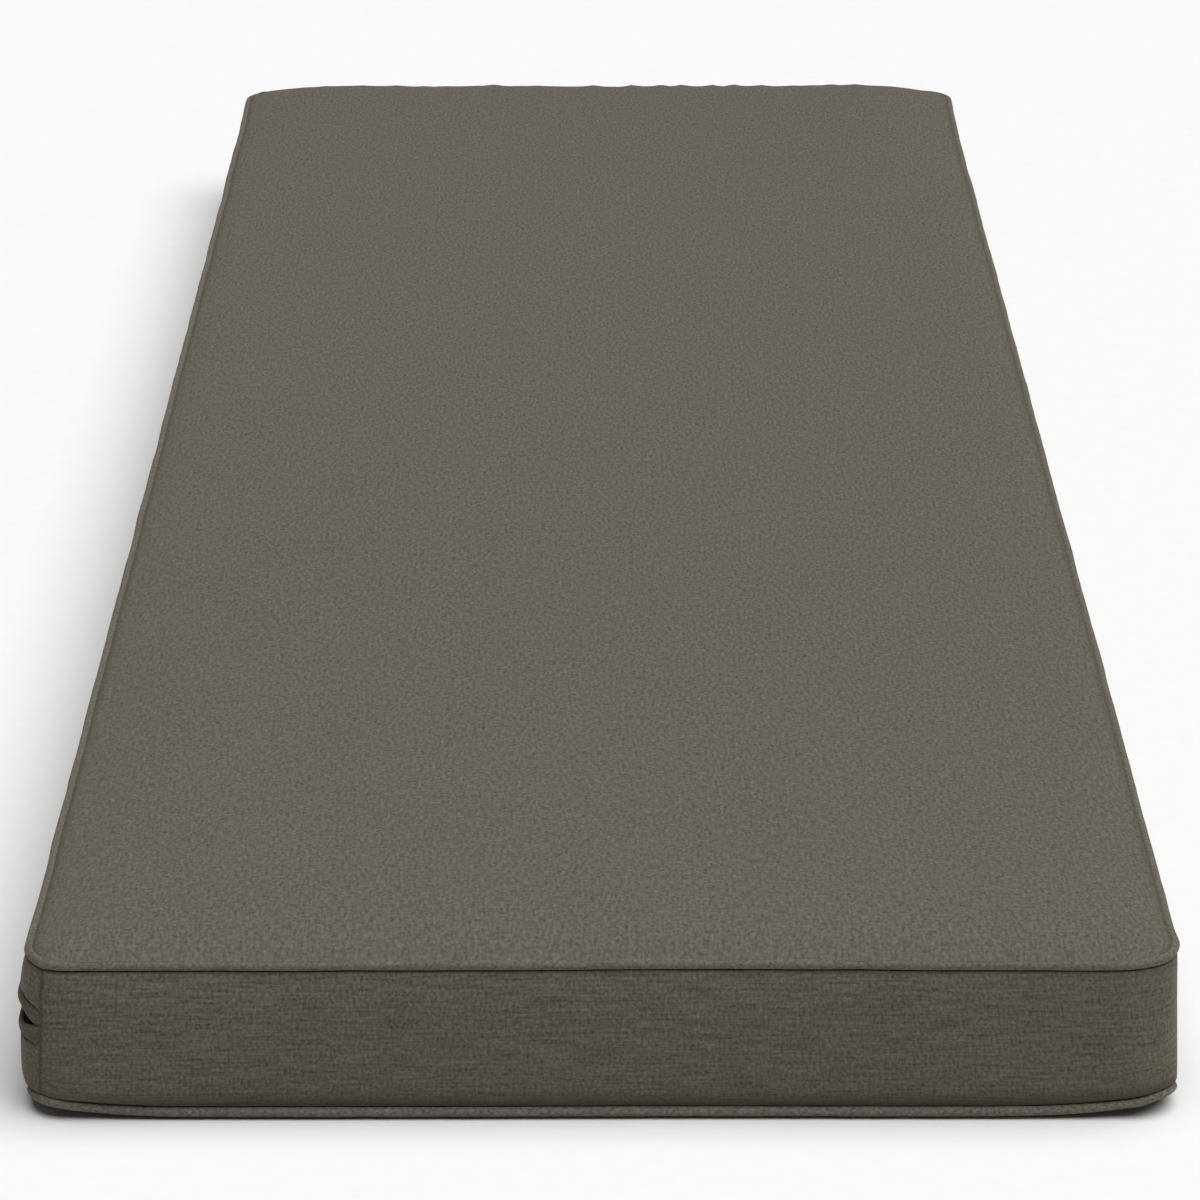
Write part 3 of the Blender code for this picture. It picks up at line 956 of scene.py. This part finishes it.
    def build(self, finishes: list[Material]) -> Object:
        """Make, fill and dress the cover.

        Args:
            finishes: The panels' cloth, the boxing's, and the zip tape for the floor of the recess.

        Returns:
            The finished piece.
        """
        offsets, heights = self.section()
        faces, corners, numbers = self.all_faces(offsets, heights)
        cover = make_piece(self.name, self.all_points(offsets, heights), faces, corners, finishes)
        cover.data.polygons.foreach_set("material_index", numbers)
        self.mark(cover, len(offsets))
        self.fill(cover)
        self.finish(cover)
        return cover

    def section(self) -> tuple[Array, Array]:
        """The rings below the top panel, from its edge to the underside.

        Returns:
            Distances out from the welts' centre line and heights, a row for each ring.
        """
        pattern, at = self.pattern, self.edge
        upper, lower = pattern.creases(at)
        top, end = pattern.top_z + pattern.seam_top[1], pattern.boxing_end(at)
        levels = [(top + (upper - top) * share, 0.0) for share in self.rows_above]
        levels += [(upper + gap, share * self.recess_depth) for gap, share in self.crease_profile]
        for share in self.rows_between:
            deeper = (self.slit_depth - self.recess_depth) * math.sin(math.pi * share) ** 2
            levels.append((upper + (lower - upper) * share, self.recess_depth + deeper))
        levels += [(lower - gap, share * self.recess_depth) for gap, share in reversed(self.crease_profile)]
        levels += [(lower + (end - lower) * share, 0.0) for share in self.rows_below]
        tuck_offset, tuck_height = self.tuck()
        recessed = pattern.recess_share(at)
        rings = [(tuck_offset, pattern.top_z + tuck_height)]
        radius, out = pattern.groove_radius, pattern.bottom_spread
        turns = [math.radians(angle) for angle in self.groove_top]
        rings += [(radius * math.cos(turn), pattern.top_z + radius * math.sin(turn)) for turn in turns]
        rings += [(pattern.boxing_offset(at, z) - sunk * recessed, z) for z, sunk in levels]
        bottom, turns = pattern.bottom_z + pattern.lift(at), [math.radians(a) for a in self.groove_bottom]
        rings += [(out + radius * math.cos(turn), bottom + radius * math.sin(turn)) for turn in turns]
        edge = rings[-1][1]
        rings += [(out - inset, edge * pattern.rising(inset)) for inset in self.underside_insets]
        offsets, heights = zip(*(np.broadcast_arrays(*ring, at.x)[:2] for ring in rings))
        return np.array(offsets), np.array(heights)

    def underside_lines(self) -> tuple[list[int], list[int]]:
        """Numbers of the grid's columns and rows that the coarser underside keeps."""
        counts = len(self.columns), len(self.rows)
        return tuple(sorted({*range(0, count, 2), count - 1}) for count in counts)

    def all_points(self, offsets: Array, heights: Array) -> Array:
        """Every point of the cover: the top panel, the rings and the inside of the underside.

        Args:
            offsets: Distances out of the rings.
            heights: Heights of the rings.

        Returns:
            Rows of X, Y and Z.
        """
        pattern = self.pattern
        at = Places.grid(self.columns, self.rows)
        inside = np.minimum(*at.insets(pattern.panel_half_x, pattern.panel_half_y))
        loose = self.looseness * self.loose_waves.at(at.x, at.y)
        height = pattern.panel_edge_z + pattern.crown(at) + loose * approach(inside, self.looseness_reach)
        top = pattern.plan(at, -pattern.panel_inset, pattern.top_z).rows(height)
        top[self.ring(0)] = self.hem()
        parts = [top]
        parts += [pattern.plan(self.edge, offset, z).rows(z) for offset, z in zip(offsets, heights)]
        kept_x, kept_y = self.underside_lines()
        inner = Places.grid(self.columns[kept_x[1:-1]], self.rows[kept_y[1:-1]])
        under = pattern.plan(inner, offsets[-1][0], 0.0)
        edge = pattern.bottom_z - pattern.groove_radius + pattern.lift(under)
        inset = np.minimum(*under.insets(pattern.half_x, pattern.half_y))
        parts.append(under.rows(edge * pattern.rising(inset)))
        points = pattern.settled(pattern.seam_pull(np.vstack(parts)))
        points[:, 2] = np.maximum(points[:, 2], 0.0)
        return points

    def tuck(self) -> tuple[Array, Array]:
        """Where the panel's cloth goes in: behind the welt on the sides, and over it at the two ends.

        Returns:
            Distances out from the welt's centre line and heights above it.
        """
        at_end = self.at_end**self.end_power
        over, behind = self.tuck_angles
        angle = np.radians(behind + (over - behind) * at_end)
        radius = self.pattern.groove_radius * (1 + (self.tuck_share - 1) * at_end)
        return radius * np.cos(angle), radius * np.sin(angle)

    def hem(self) -> Array:
        """The top panel's edge, placed so that rounding brings it down onto the welt.

        Rounding moves it to an eighth of the point inside it, six eighths of itself and one of the tuck.

        Returns:
            Rows of X, Y and Z.
        """
        pattern, at, step = self.pattern, self.edge, self.edge_steps[1]
        away_x, away_y = pattern.outward(at)
        over, behind = self.hem_angles
        angle = np.radians(behind + (over - behind) * self.at_end**self.end_power)
        touch = pattern.welt_radius - self.hem_hold * self.at_end + self.hem_play
        inner = pattern.crown(Places(at.x - away_x * step, at.y - away_y * step))
        tuck_offset, tuck_height = self.tuck()
        offset = (8 * touch * np.cos(angle) + pattern.panel_inset + step - tuck_offset) / 6
        z = 8 * (pattern.top_z + touch * np.sin(angle)) - (pattern.panel_edge_z + inner)
        return pattern.plan(at, offset, pattern.top_z).rows((z - (pattern.top_z + tuck_height)) / 6)

    def ring(self, number: int) -> Array:
        """Point numbers of a ring in order.

        Args:
            number: The ring, 0 being the top panel's own edge.

        Returns:
            One number for each edge place.
        """
        if number:
            return np.arange(self.ring_count) + self.top_count + (number - 1) * self.ring_count
        grid = np.arange(self.top_count).reshape(len(self.rows), len(self.columns))
        return np.concatenate([grid[0], grid[1:, -1], grid[-1, -2::-1], grid[-2:0:-1, 0]])

    def all_faces(self, offsets: Array, heights: Array) -> tuple[list[list[int]], Array, Array]:
        """Every face of the cover, with its place on the cloth.

        Args:
            offsets: Distances out of the rings.
            heights: Heights of the rings.

        Returns:
            The faces, the place on the cloth of each face corner, and each face's material number.
        """
        pattern, wide, long = self.pattern, len(self.columns), len(self.rows)
        quads = grid_faces(long, wide)
        along, across = (
            run(line.x, line.y, pattern.crown(line))
            for line in (Places(np.zeros(long), self.rows), Places(self.columns, np.zeros(wide)))
        )
        faces = quads.tolist()
        places = [np.stack([along[quads // wide], across[quads % wide]], axis=-1).reshape(-1, 2)]
        numbers = [np.zeros(len(quads))]
        middle = pattern.plan(self.edge, *self.grain_line)
        around = run(np.append(middle.x, middle.x[0]), np.append(middle.y, middle.y[0]))
        down = run(*(np.append(part[0, wide // 2], part[:, wide // 2]) for part in (offsets, heights)))
        recessed = pattern.recess_share(self.edge) > self.taped
        for number in range(len(offsets)):
            above, below = self.ring(number), self.ring(number + 1)
            strip = np.stack([np.roll(above, -1), above, below, np.roll(below, -1)], axis=1)
            u = np.stack([around[1:], around[:-1], around[:-1], around[1:]], axis=1)
            v = np.broadcast_to(-down[[number, number, number + 1, number + 1]], u.shape)
            faces += strip.tolist()
            places.append(np.stack([u, v], axis=-1).reshape(-1, 2))
            taped = (number in self.floor) & recessed & np.roll(recessed, -1)
            numbers.append(np.where(taped, 2, 1))
        for loop in self.underside_loops(len(offsets)):
            faces.append([n for _, _, n in loop])
            places.append(np.array([(self.rows[row], -self.columns[column]) for row, column, _ in loop]))
            numbers.append(np.zeros(1))
        return faces, np.vstack(places), np.concatenate(numbers).astype(np.int32)

    def underside_loops(self, last: int) -> list[list[tuple[int, int, int]]]:
        """The faces that close the underside with a grid of half as many lines.

        Args:
            last: The number of the last ring.

        Returns:
            For each face its corners: row, column and point number.
        """
        numbers = np.full((len(self.rows), len(self.columns)), -1)
        numbers.flat[self.ring(0)] = self.ring(last)
        kept_x, kept_y = self.underside_lines()
        inner = self.top_count + last * self.ring_count
        size = len(kept_y) - 2, len(kept_x) - 2
        numbers[np.ix_(kept_y[1:-1], kept_x[1:-1])] = inner + np.arange(size[0] * size[1]).reshape(size)
        loops = []
        for low_y, high_y in zip(kept_y, kept_y[1:]):
            for low_x, high_x in zip(kept_x, kept_x[1:]):
                loop = [(low_y, c) for c in range(low_x, high_x)]
                loop += [(r, high_x) for r in range(low_y, high_y)]
                loop += [(high_y, c) for c in range(high_x, low_x, -1)]
                loop += [(r, low_x) for r in range(high_y, low_y, -1)]
                loops.append([(r, c, int(numbers[r, c])) for r, c in reversed(loop) if numbers[r, c] >= 0])
        return loops

    def mark(self, cover: Object, last: int) -> None:
        """Mark what is sewn down, what was eased into a seam, and how much painted shade each point gets
        near a seam.

        Args:
            cover: The cover's object.
            last: The number of the last ring.
        """
        pattern, edge, top = self.pattern, self.edge, slice(0, self.top_count)
        heights = read_points(cover.data)[:, 2]
        sewn, near = np.zeros(len(heights), dtype=bool), np.zeros(len(heights))
        at = Places.grid(self.columns, self.rows)
        side, end = at.insets(pattern.panel_half_x, pattern.panel_half_y)
        sewn[top] = np.minimum(side, end) < self.hem_width
        # Painted shade in the valleys beside the upper welt, strong on the sides and faint at the ends.
        valley = np.where(at.x < 0, total(self.left_valley, side), total(self.right_valley, side))
        near[top] = np.maximum(valley, self.end_valley.at(end))
        upper, lower = pattern.creases(edge)
        # Painted shade above the lower welt, less of it towards the front left corner.
        low = pattern.bottom_z + pattern.lift(edge)
        lost = self.low_valley_lost.at(edge.x + pattern.half_x) * (edge.y < 0) / self.low_valley.height
        for number in range(1, last + 1):
            ring = self.ring(number)
            # The rings in the welts' grooves get the full painted shade; the boxing's rings then get only
            # the painted shade above the lower welt.
            sewn[ring], near[ring] = True, 1.0
            if number in self.boxing:
                z = heights[ring]
                above = np.maximum(z - low, self.low_valley.middle * MM)
                near[ring] = (1 - lost) * self.low_valley.at(above)
                creased = (z < upper + self.crease_width) & (z > lower - self.crease_width)
                sewn[ring] = creased & pattern.on_placket(edge.x)
            # Less painted shade on the tuck at the ends, where the hem lies smooth.
            if number == 1:
                near[ring] -= self.hidden_hem * self.at_end
            for end in ENDS:
                apart = pattern.from_seam(edge, end)
                sewn[ring[apart < self.seam_width]] = True
                # A painted dark line along each corner seam.
                near[ring] = np.maximum(near[ring], self.seam_valley.at(apart))
        inner = self.ring(last)[-1] + 1
        sewn[inner:], near[inner:] = True, 0.0
        cover.vertex_groups.new(name=SEWN).add(np.flatnonzero(sewn).tolist(), 1.0, "REPLACE")
        eased = cover.vertex_groups.new(name=EASED)
        for n in np.flatnonzero(near > self.least_shade).tolist():
            eased.add([n], min(float(near[n]), 1.0), "REPLACE")
        shade = cover.data.attributes.new(SEAM_PAINTED_SHADE_AND_EASE, "FLOAT", "POINT")
        shade.data.foreach_set("value", near.astype(np.float32))

    def fill(self, cover: Object) -> None:
        """Press the filling against the sewn cover with a short cloth simulation, and cap its movement.

        Args:
            cover: The cover's object. Its simulation is applied.
        """
        start = read_points(cover.data)
        cloth = cover.modifiers.new("filling", "CLOTH")
        settings = cloth.settings
        settings.quality = 5
        settings.mass = 0.25
        settings.tension_stiffness = settings.compression_stiffness = 18
        settings.shear_stiffness = 6
        settings.bending_stiffness = 0.6
        settings.use_pressure = True
        settings.uniform_pressure_force = 4.0
        settings.vertex_group_mass = SEWN
        settings.vertex_group_shrink = EASED
        settings.shrink_min, settings.shrink_max = 0.0, -0.035
        settings.effector_weights.gravity = 0.0
        cloth.point_cache.frame_start, cloth.point_cache.frame_end = 1, self.frames
        scene = bpy.context.scene
        for number in range(1, self.frames + 1):
            scene.frame_set(number)
        only_active(cover)
        bpy.ops.object.modifier_apply(modifier=cloth.name)
        scene.frame_set(1)
        moved = read_points(cover.data) - start
        length = np.linalg.norm(moved, axis=1, keepdims=True)
        capped = moved * (self.cap / (self.cap + length))
        kept = np.linalg.norm(capped, axis=1).max()
        log.info("filling pressed the cover by up to %.1f mm, kept %.1f mm", length.max() / MM, kept / MM)
        write_points(cover.data, start + capped)

    def pucker_up(self, cover: Object) -> None:
        """Add the small puckers where the cloth was eased into the seams of the top panel.

        Args:
            cover: The rounded cover.
        """
        pattern, mesh = self.pattern, cover.data
        points, normals = read_points(mesh), read_points(mesh, "normal")
        x, y = (points[:, :2] - np.array(pattern.centre)).T
        inside = np.minimum(*Places(x, y).insets(pattern.half_x, pattern.half_y))
        on_panel = points[:, 2] > pattern.top_z + self.panel_over
        started = np.clip((inside - self.pucker_gap) / self.pucker_rise, 0.0, 1.0)
        open_cloth = started * np.exp(-inside / self.pucker_fade) * on_panel
        mean, swing, least, most = self.pucker_patches
        patches = np.clip(mean + swing * self.patch_waves.at(y, x), least, most)
        height = self.pucker * self.pucker_waves.at(x, y) * patches * open_cloth
        puckers = tuple(Bump(share, place, self.back_pucker_reach) for place, share in self.back_puckers)
        raised = total(puckers, x) - self.back_sag.at(x)
        height += self.back_pucker * raised * self.back_pucker_at.at(y - pattern.half_y) * on_panel
        write_points(mesh, points + normals * height[:, None])

    def finish(self, cover: Object) -> None:
        """Round the cover with one subdivision, shade it smooth and dress it.

        Args:
            cover: The filled cover.
        """
        apply_modifier(cover, "SUBSURF", levels=1, render_levels=1)
        cover.vertex_groups.clear()
        bpy.ops.object.shade_smooth()
        self.pucker_up(cover)
        points = read_points(cover.data)
        points[:, 2] = np.maximum(points[:, 2], 0.0)
        write_points(cover.data, points)
        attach(cover, "root")
        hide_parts("cushion_body")


# ------------------------ welts


class Seam(Enum):
    """The two seams that carry a welt."""

    UPPER = "top_piping"
    LOWER = "bottom_piping"


@dataclass
class Welt:
    """A covered cord that runs once round the cushion in one seam."""

    pattern: CushionPattern
    seam: Seam
    pitch: float = 4.5 * MM
    corner_pitch: float = 1.6 * MM
    corner_length: float = 34.0 * MM  # how far from a corner the points are closer
    profile_steps: int = 2
    uneven: float = 0.018  # of its thickness
    waves: tuple[WaveField, ...] = (WaveField(14, 50, 41), WaveField(14, 50, 42))  # upper, lower
    bunching: float = 0.12  # how much thicker the lower one is where it joins, at the front left corner
    bunching_reach: float = 60.0  # mm

    @property
    def name(self) -> str:
        """The piece's name."""
        return "upper_welt" if self.seam is Seam.UPPER else "lower_welt"

    def path(self) -> Array:
        """Points along the middle of the cord, once round.

        Returns:
            Rows of X, Y and Z.
        """
        pattern = self.pattern
        steps = tuple(np.arange(0.0, self.corner_length, self.corner_pitch))
        halves = pattern.panel_half_x, pattern.panel_half_y
        at = border(*(spread(half, steps, self.pitch) for half in halves))
        offset, z = 0.0, np.full(at.x.shape, pattern.top_z)
        if self.seam is Seam.LOWER:
            offset, z = pattern.bottom_spread, pattern.bottom_z + pattern.lift(at)
        return pattern.settled(pattern.plan(at, offset, z).rows(z))

    def build(self, finish: Material) -> Object:
        """Sweep the cord along its seam and dress it.

        Args:
            finish: The welt's cloth.

        Returns:
            The finished piece.
        """
        bpy.ops.object.select_all(action="DESELECT")
        bpy.ops.curve.primitive_bezier_circle_add(radius=self.pattern.half_x)
        welt = bpy.context.object
        welt.name = self.name
        curve = welt.data
        curve.dimensions = "3D"
        curve.twist_mode = "Z_UP"
        curve.bevel_depth = self.pattern.welt_radius
        curve.bevel_resolution = self.profile_steps
        curve.resolution_u = 1
        path = self.path()
        curve.splines.clear()
        spline = curve.splines.new("POLY")
        spline.points.add(len(path) - 1)
        spline.points.foreach_set("co", np.column_stack([path, np.ones(len(path))]).ravel())
        upper, at = self.seam is Seam.UPPER, Places(path[:, 0], path[:, 1])
        thickness = 1 + self.uneven * self.waves[0 if upper else 1].at(at.x, at.y)
        if not upper:
            thickness += self.bunching * self.pattern.corner_fade(at, CORNERS[0], self.bunching_reach)
        spline.points.foreach_set("radius", thickness)
        spline.use_cyclic_u = spline.use_smooth = True
        only_active(welt)
        bpy.ops.object.convert(target="MESH")
        welt = bpy.context.object
        self.lay_grain(welt.data, path)
        welt.data.materials.clear()
        welt.data.materials.append(finish)
        bpy.ops.object.shade_smooth()
        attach(welt, "root")
        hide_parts(self.seam.value)
        return welt

    def lay_grain(self, mesh: Mesh, path: Array) -> None:
        """Lay the bias strip's grain along and around the cord.

        Args:
            mesh: The swept cord, whose points follow ring by ring.
            path: The points that it was swept along.
        """
        while mesh.uv_layers:
            mesh.uv_layers.remove(mesh.uv_layers[0])
        around = len(mesh.vertices) // len(path)
        lengths = run(*np.vstack([path, path[:1]]).T)
        girth = 2 * math.pi * self.pattern.welt_radius / around
        corners = np.zeros((len(mesh.loops), 2))
        for face in mesh.polygons:
            rings, sides = np.divmod(np.array(face.vertices), around)
            rings = np.where((rings == 0) & (rings.max() > 1), len(path), rings)
            sides = np.where((sides == 0) & (sides.max() > 1), around, sides)
            corners[list(face.loop_indices)] = np.column_stack([lengths[rings], sides * girth])
        write_uv(mesh, corners)


# ------------------------ placket


class Lip(Enum):
    """The two folded lips of the zip placket."""

    UPPER = "zip_lip_upper"
    LOWER = "zip_lip_lower"


@dataclass
class PlacketLip:
    """A strip of the cover's cloth, folded double: it hangs from its crease or stands on it."""

    pattern: CushionPattern
    lip: Lip
    cloth: float = 0.55 * MM
    crease_gap: float = 0.3 * MM  # from the cover's crease to the strip's
    closed_slit: float = 0.9 * MM
    open_slit: float = 8.4 * MM
    least_slit: float = 0.5 * MM
    slit_ripple: float = 0.35 * MM
    ripple_waves: WaveField = WaveField(40, 150, 51)
    slit_shares: Pair = (0.92, -0.45)  # of the gape that the upper and the lower lip give
    open_from: float = 5.0 * MM  # distance of the gape's tip from the front corner seam
    open_at: float = 14.0 * MM
    open_fade: float = 70.0 * MM
    roll: float = 0.16 * MM  # unevenness of the fold
    roll_waves: tuple[WaveField, ...] = (WaveField(60, 190, 52), WaveField(60, 190, 53))  # upper, lower
    flat_end: float = 2.5 * MM  # where the fold flattens out towards its two ends
    tucked: float = 1.0 * MM  # how far the ends are tucked into the corner seams
    tucked_reach: float = 1.2 * MM
    # The fold's section: share of the way from crease to slit, and height above the boxing in mm
    fold: tuple[Pair, ...] = (
        (-0.04, -1.3), (0.0, -0.5), (0.08, 0.0), (0.20, 0.5), (0.40, 0.95), (0.62, 1.05), (0.82, 0.75),
        (0.94, 0.15), (1.0, -0.75), (0.98, -1.55), (0.90, -1.95), (0.65, -2.05), (0.35, -2.10),
        (0.08, -2.10),
    )

    @property
    def name(self) -> str:
        """The piece's name."""
        return "upper_placket_lip" if self.hangs else "lower_placket_lip"

    @property
    def hangs(self) -> bool:
        """Whether this is the upper lip."""
        return self.lip is Lip.UPPER

    def slit_opening(self, at: Places) -> Array:
        """Height of the slit between the lips, which gapes near the front corner.

        Args:
            at: Edge places on the placket's side.

        Returns:
            The height at each place.
        """
        apart = self.pattern.from_seam(at, FRONT)
        growing = np.clip((apart - self.open_from) / (self.open_at - self.open_from), 0.0, 1.0)
        share = growing * bell(np.maximum(apart - self.open_at, 0.0), self.open_fade)
        ripple = self.slit_ripple * self.ripple_waves.at(at.x, at.y)
        ajar = self.closed_slit + (self.open_slit - self.closed_slit) * share + ripple
        closing = np.clip(self.pattern.from_ends(at) / self.open_from, 0.0, 1.0) ** 3
        return np.maximum(ajar, self.least_slit) * closing

    def build(self, cover: FilledCover, finish: Material) -> Object:
        """Fold the lip along the placket and dress it.

        Args:
            cover: The cover whose grid lines the lip follows.
            finish: The lip's cloth.

        Returns:
            The finished piece.
        """
        pattern, edge = self.pattern, cover.edge
        # The edge runs from the front left corner once round, so the placket's part of it is turned about
        on = np.flatnonzero(pattern.on_placket(edge.x))
        order = np.roll(on[::-1], np.count_nonzero(on < len(cover.columns)))
        at = Places(edge.x[order], edge.y[order])
        upper, lower = pattern.creases(at)
        crease = upper - self.crease_gap if self.hangs else lower + self.crease_gap
        lip_edge = pattern.slit_z + self.slit_shares[0 if self.hangs else 1] * self.slit_opening(at)
        ends = pattern.from_ends(at)
        tucked = self.tucked * np.exp(-ends / self.tucked_reach)
        rolls = self.roll * self.roll_waves[0 if self.hangs else 1].at(at.x, at.y)
        layers = []
        for share, proud in self.fold:
            z = crease + (lip_edge - crease) * share
            offset = pattern.boxing_offset(at, z) + proud * MM * approach(ends, self.flat_end)
            offset += max(share, 0.0) * rolls - tucked
            layers.append(pattern.plan(at, offset, z).rows(z))
        points = pattern.settled(pattern.seam_pull(np.vstack(layers)))
        return self.sew(points, len(at.x), finish)

    def sew(self, points: Array, long: int, finish: Material) -> Object:
        """Make the folded strip from its rows of points.

        Args:
            points: The rows of the fold, one after another.
            long: Points in a row.
            finish: The lip's cloth.

        Returns:
            The finished piece.
        """
        rows = len(self.fold)
        lattice = points.reshape(rows, long, 3)
        u, v = run(*lattice[rows // 2].T), run(*lattice[:, long // 2].T)
        quads = grid_faces(rows, long)
        quads = quads if self.hangs else quads[:, ::-1]
        corners = np.stack([u[quads % long], v[quads // long]], axis=-1).reshape(-1, 2)
        strip = make_piece(self.name, points, quads.tolist(), corners, [finish])
        apply_modifier(strip, "SOLIDIFY", thickness=self.cloth, offset=-1.0)
        apply_modifier(strip, "SUBSURF", levels=1, render_levels=1)
        bpy.ops.object.shade_smooth()
        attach(strip, "root")
        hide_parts(self.lip.value)
        log.info("%s is cut %.0f by %.0f mm", self.name, v[-1] / MM, u[-1] / MM)
        return strip


# ------------------------ studio


@dataclass
class Studio:
    """A pale floor, plain soft light and the camera at the photograph's place."""

    floor_radius: float = 14.0
    floor_sides: int = 96
    floor_gap: float = 0.4 * MM  # under the cushion's lowest points
    eye: tuple[float, float, float] = (-0.0039, -3.2538, 1.1604)
    pitch: float = 20.3305  # degrees below the horizon
    turn: float = 0.0925  # degrees towards +X
    lens: float = 146.99
    key_from: tuple[float, float, float] = (1.25, -0.8, 4.75)
    key_spread: float = 66.0  # degrees across
    key_strength: float = 3.92
    room: float = 0.10

    def build(self) -> None:
        """Set the floor, the lights, the world and the camera."""
        self.lay_floor()
        self.light()
        self.aim_camera()

    def lay_floor(self) -> None:
        """Lay a wide round sheet of paper under the cushion."""
        bpy.ops.object.select_all(action="DESELECT")
        bpy.ops.mesh.primitive_circle_add(
            vertices=self.floor_sides, radius=self.floor_radius, fill_type="NGON", location=(0, 0, 0)
        )
        floor = bpy.context.object
        floor.name = "studio_floor"
        write_points(floor.data, read_points(floor.data) - np.array([0.0, 0.0, self.floor_gap]))
        floor.data.materials.append(StudioPaper().material())

    def light(self) -> None:
        """Hang a very large soft key light high on the right, and let the pale room fill the rest."""
        bpy.ops.object.light_add(type="SUN", location=self.key_from)
        key = bpy.context.object
        key.name = "soft_key"
        key.data.angle = math.radians(self.key_spread)
        key.data.energy = self.key_strength
        key.rotation_euler = (-Vector(self.key_from)).to_track_quat("-Z", "Y").to_euler()
        world = bpy.data.worlds.new("pale_room")
        world.use_nodes = True
        feed(world.node_tree.nodes["Background"], {"Color": srgb("#ffffff"), "Strength": self.room})
        bpy.context.scene.world = world
        bpy.context.scene.view_settings.view_transform = "Standard"

    def aim_camera(self) -> None:
        """Set the camera at the place and angle that the photograph was taken from."""
        bpy.ops.object.camera_add(location=self.eye)
        camera = bpy.context.object
        camera.name = "photo_camera"
        camera.rotation_euler = (math.radians(90 - self.pitch), 0.0, math.radians(-self.turn))
        camera.data.lens = self.lens
        camera.data.sensor_width = 36.0
        camera.data.clip_end = 60.0
        bpy.context.scene.camera = camera


# ------------------------ main


def main() -> None:
    """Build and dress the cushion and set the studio."""
    logging.basicConfig(level=logging.INFO, format="%(message)s")
    pattern = CushionPattern()
    fine_slubs = {"thread": 1.8, "slub": 7.0, "slub_share": 0.9, "dash_share": 0.3, "contrast": 0.76}
    panel = HeatherCloth("heathered plain-weave cloth, panels", "#403c33", "#6b675e", **fine_slubs)
    boxing = HeatherCloth("heathered plain-weave cloth, boxing", "#403b31", "#6a655a")
    on_bias = {"turn": 45.0, "slub": 5.0, "slub_share": 0.6}
    upper_bias = HeatherCloth("heathered cloth on the bias", "#433f35", "#706c62", contrast=0.8, **on_bias)
    # The lower welt's cloth is painted lighter than the upper one's: painted light on the cord that sits in
    # the shade of the boxing's swell.
    lower_bias_painted_lighter = HeatherCloth("heathered cloth on the bias, below, painted lighter", "#474238", "#787369", **on_bias)
    bias = {Seam.UPPER: upper_bias, Seam.LOWER: lower_bias_painted_lighter}
    # The lips' cloth is the boxing's cloth painted darker: painted shade on the left-facing corner of the
    # placket.
    folded = HeatherCloth("heathered cloth folded double, painted darker", "#38342b", "#5d584d")
    cover = FilledCover(pattern)
    body = cover.build([panel.material(), boxing.material(), ZipTape().material()])
    log.info("filled cover: %d faces", len(body.data.polygons))
    for seam in Seam:
        welt = Welt(pattern, seam).build(bias[seam].material())
        log.info("%s: %d faces", welt.name, len(welt.data.polygons))
    lip_cloth_painted_darker = folded.material()
    for lip in Lip:
        strip = PlacketLip(pattern, lip).build(cover, lip_cloth_painted_darker)
        log.info("%s: %d faces", strip.name, len(strip.data.polygons))
    Studio().build()


if __name__ == "__main__":
    main()
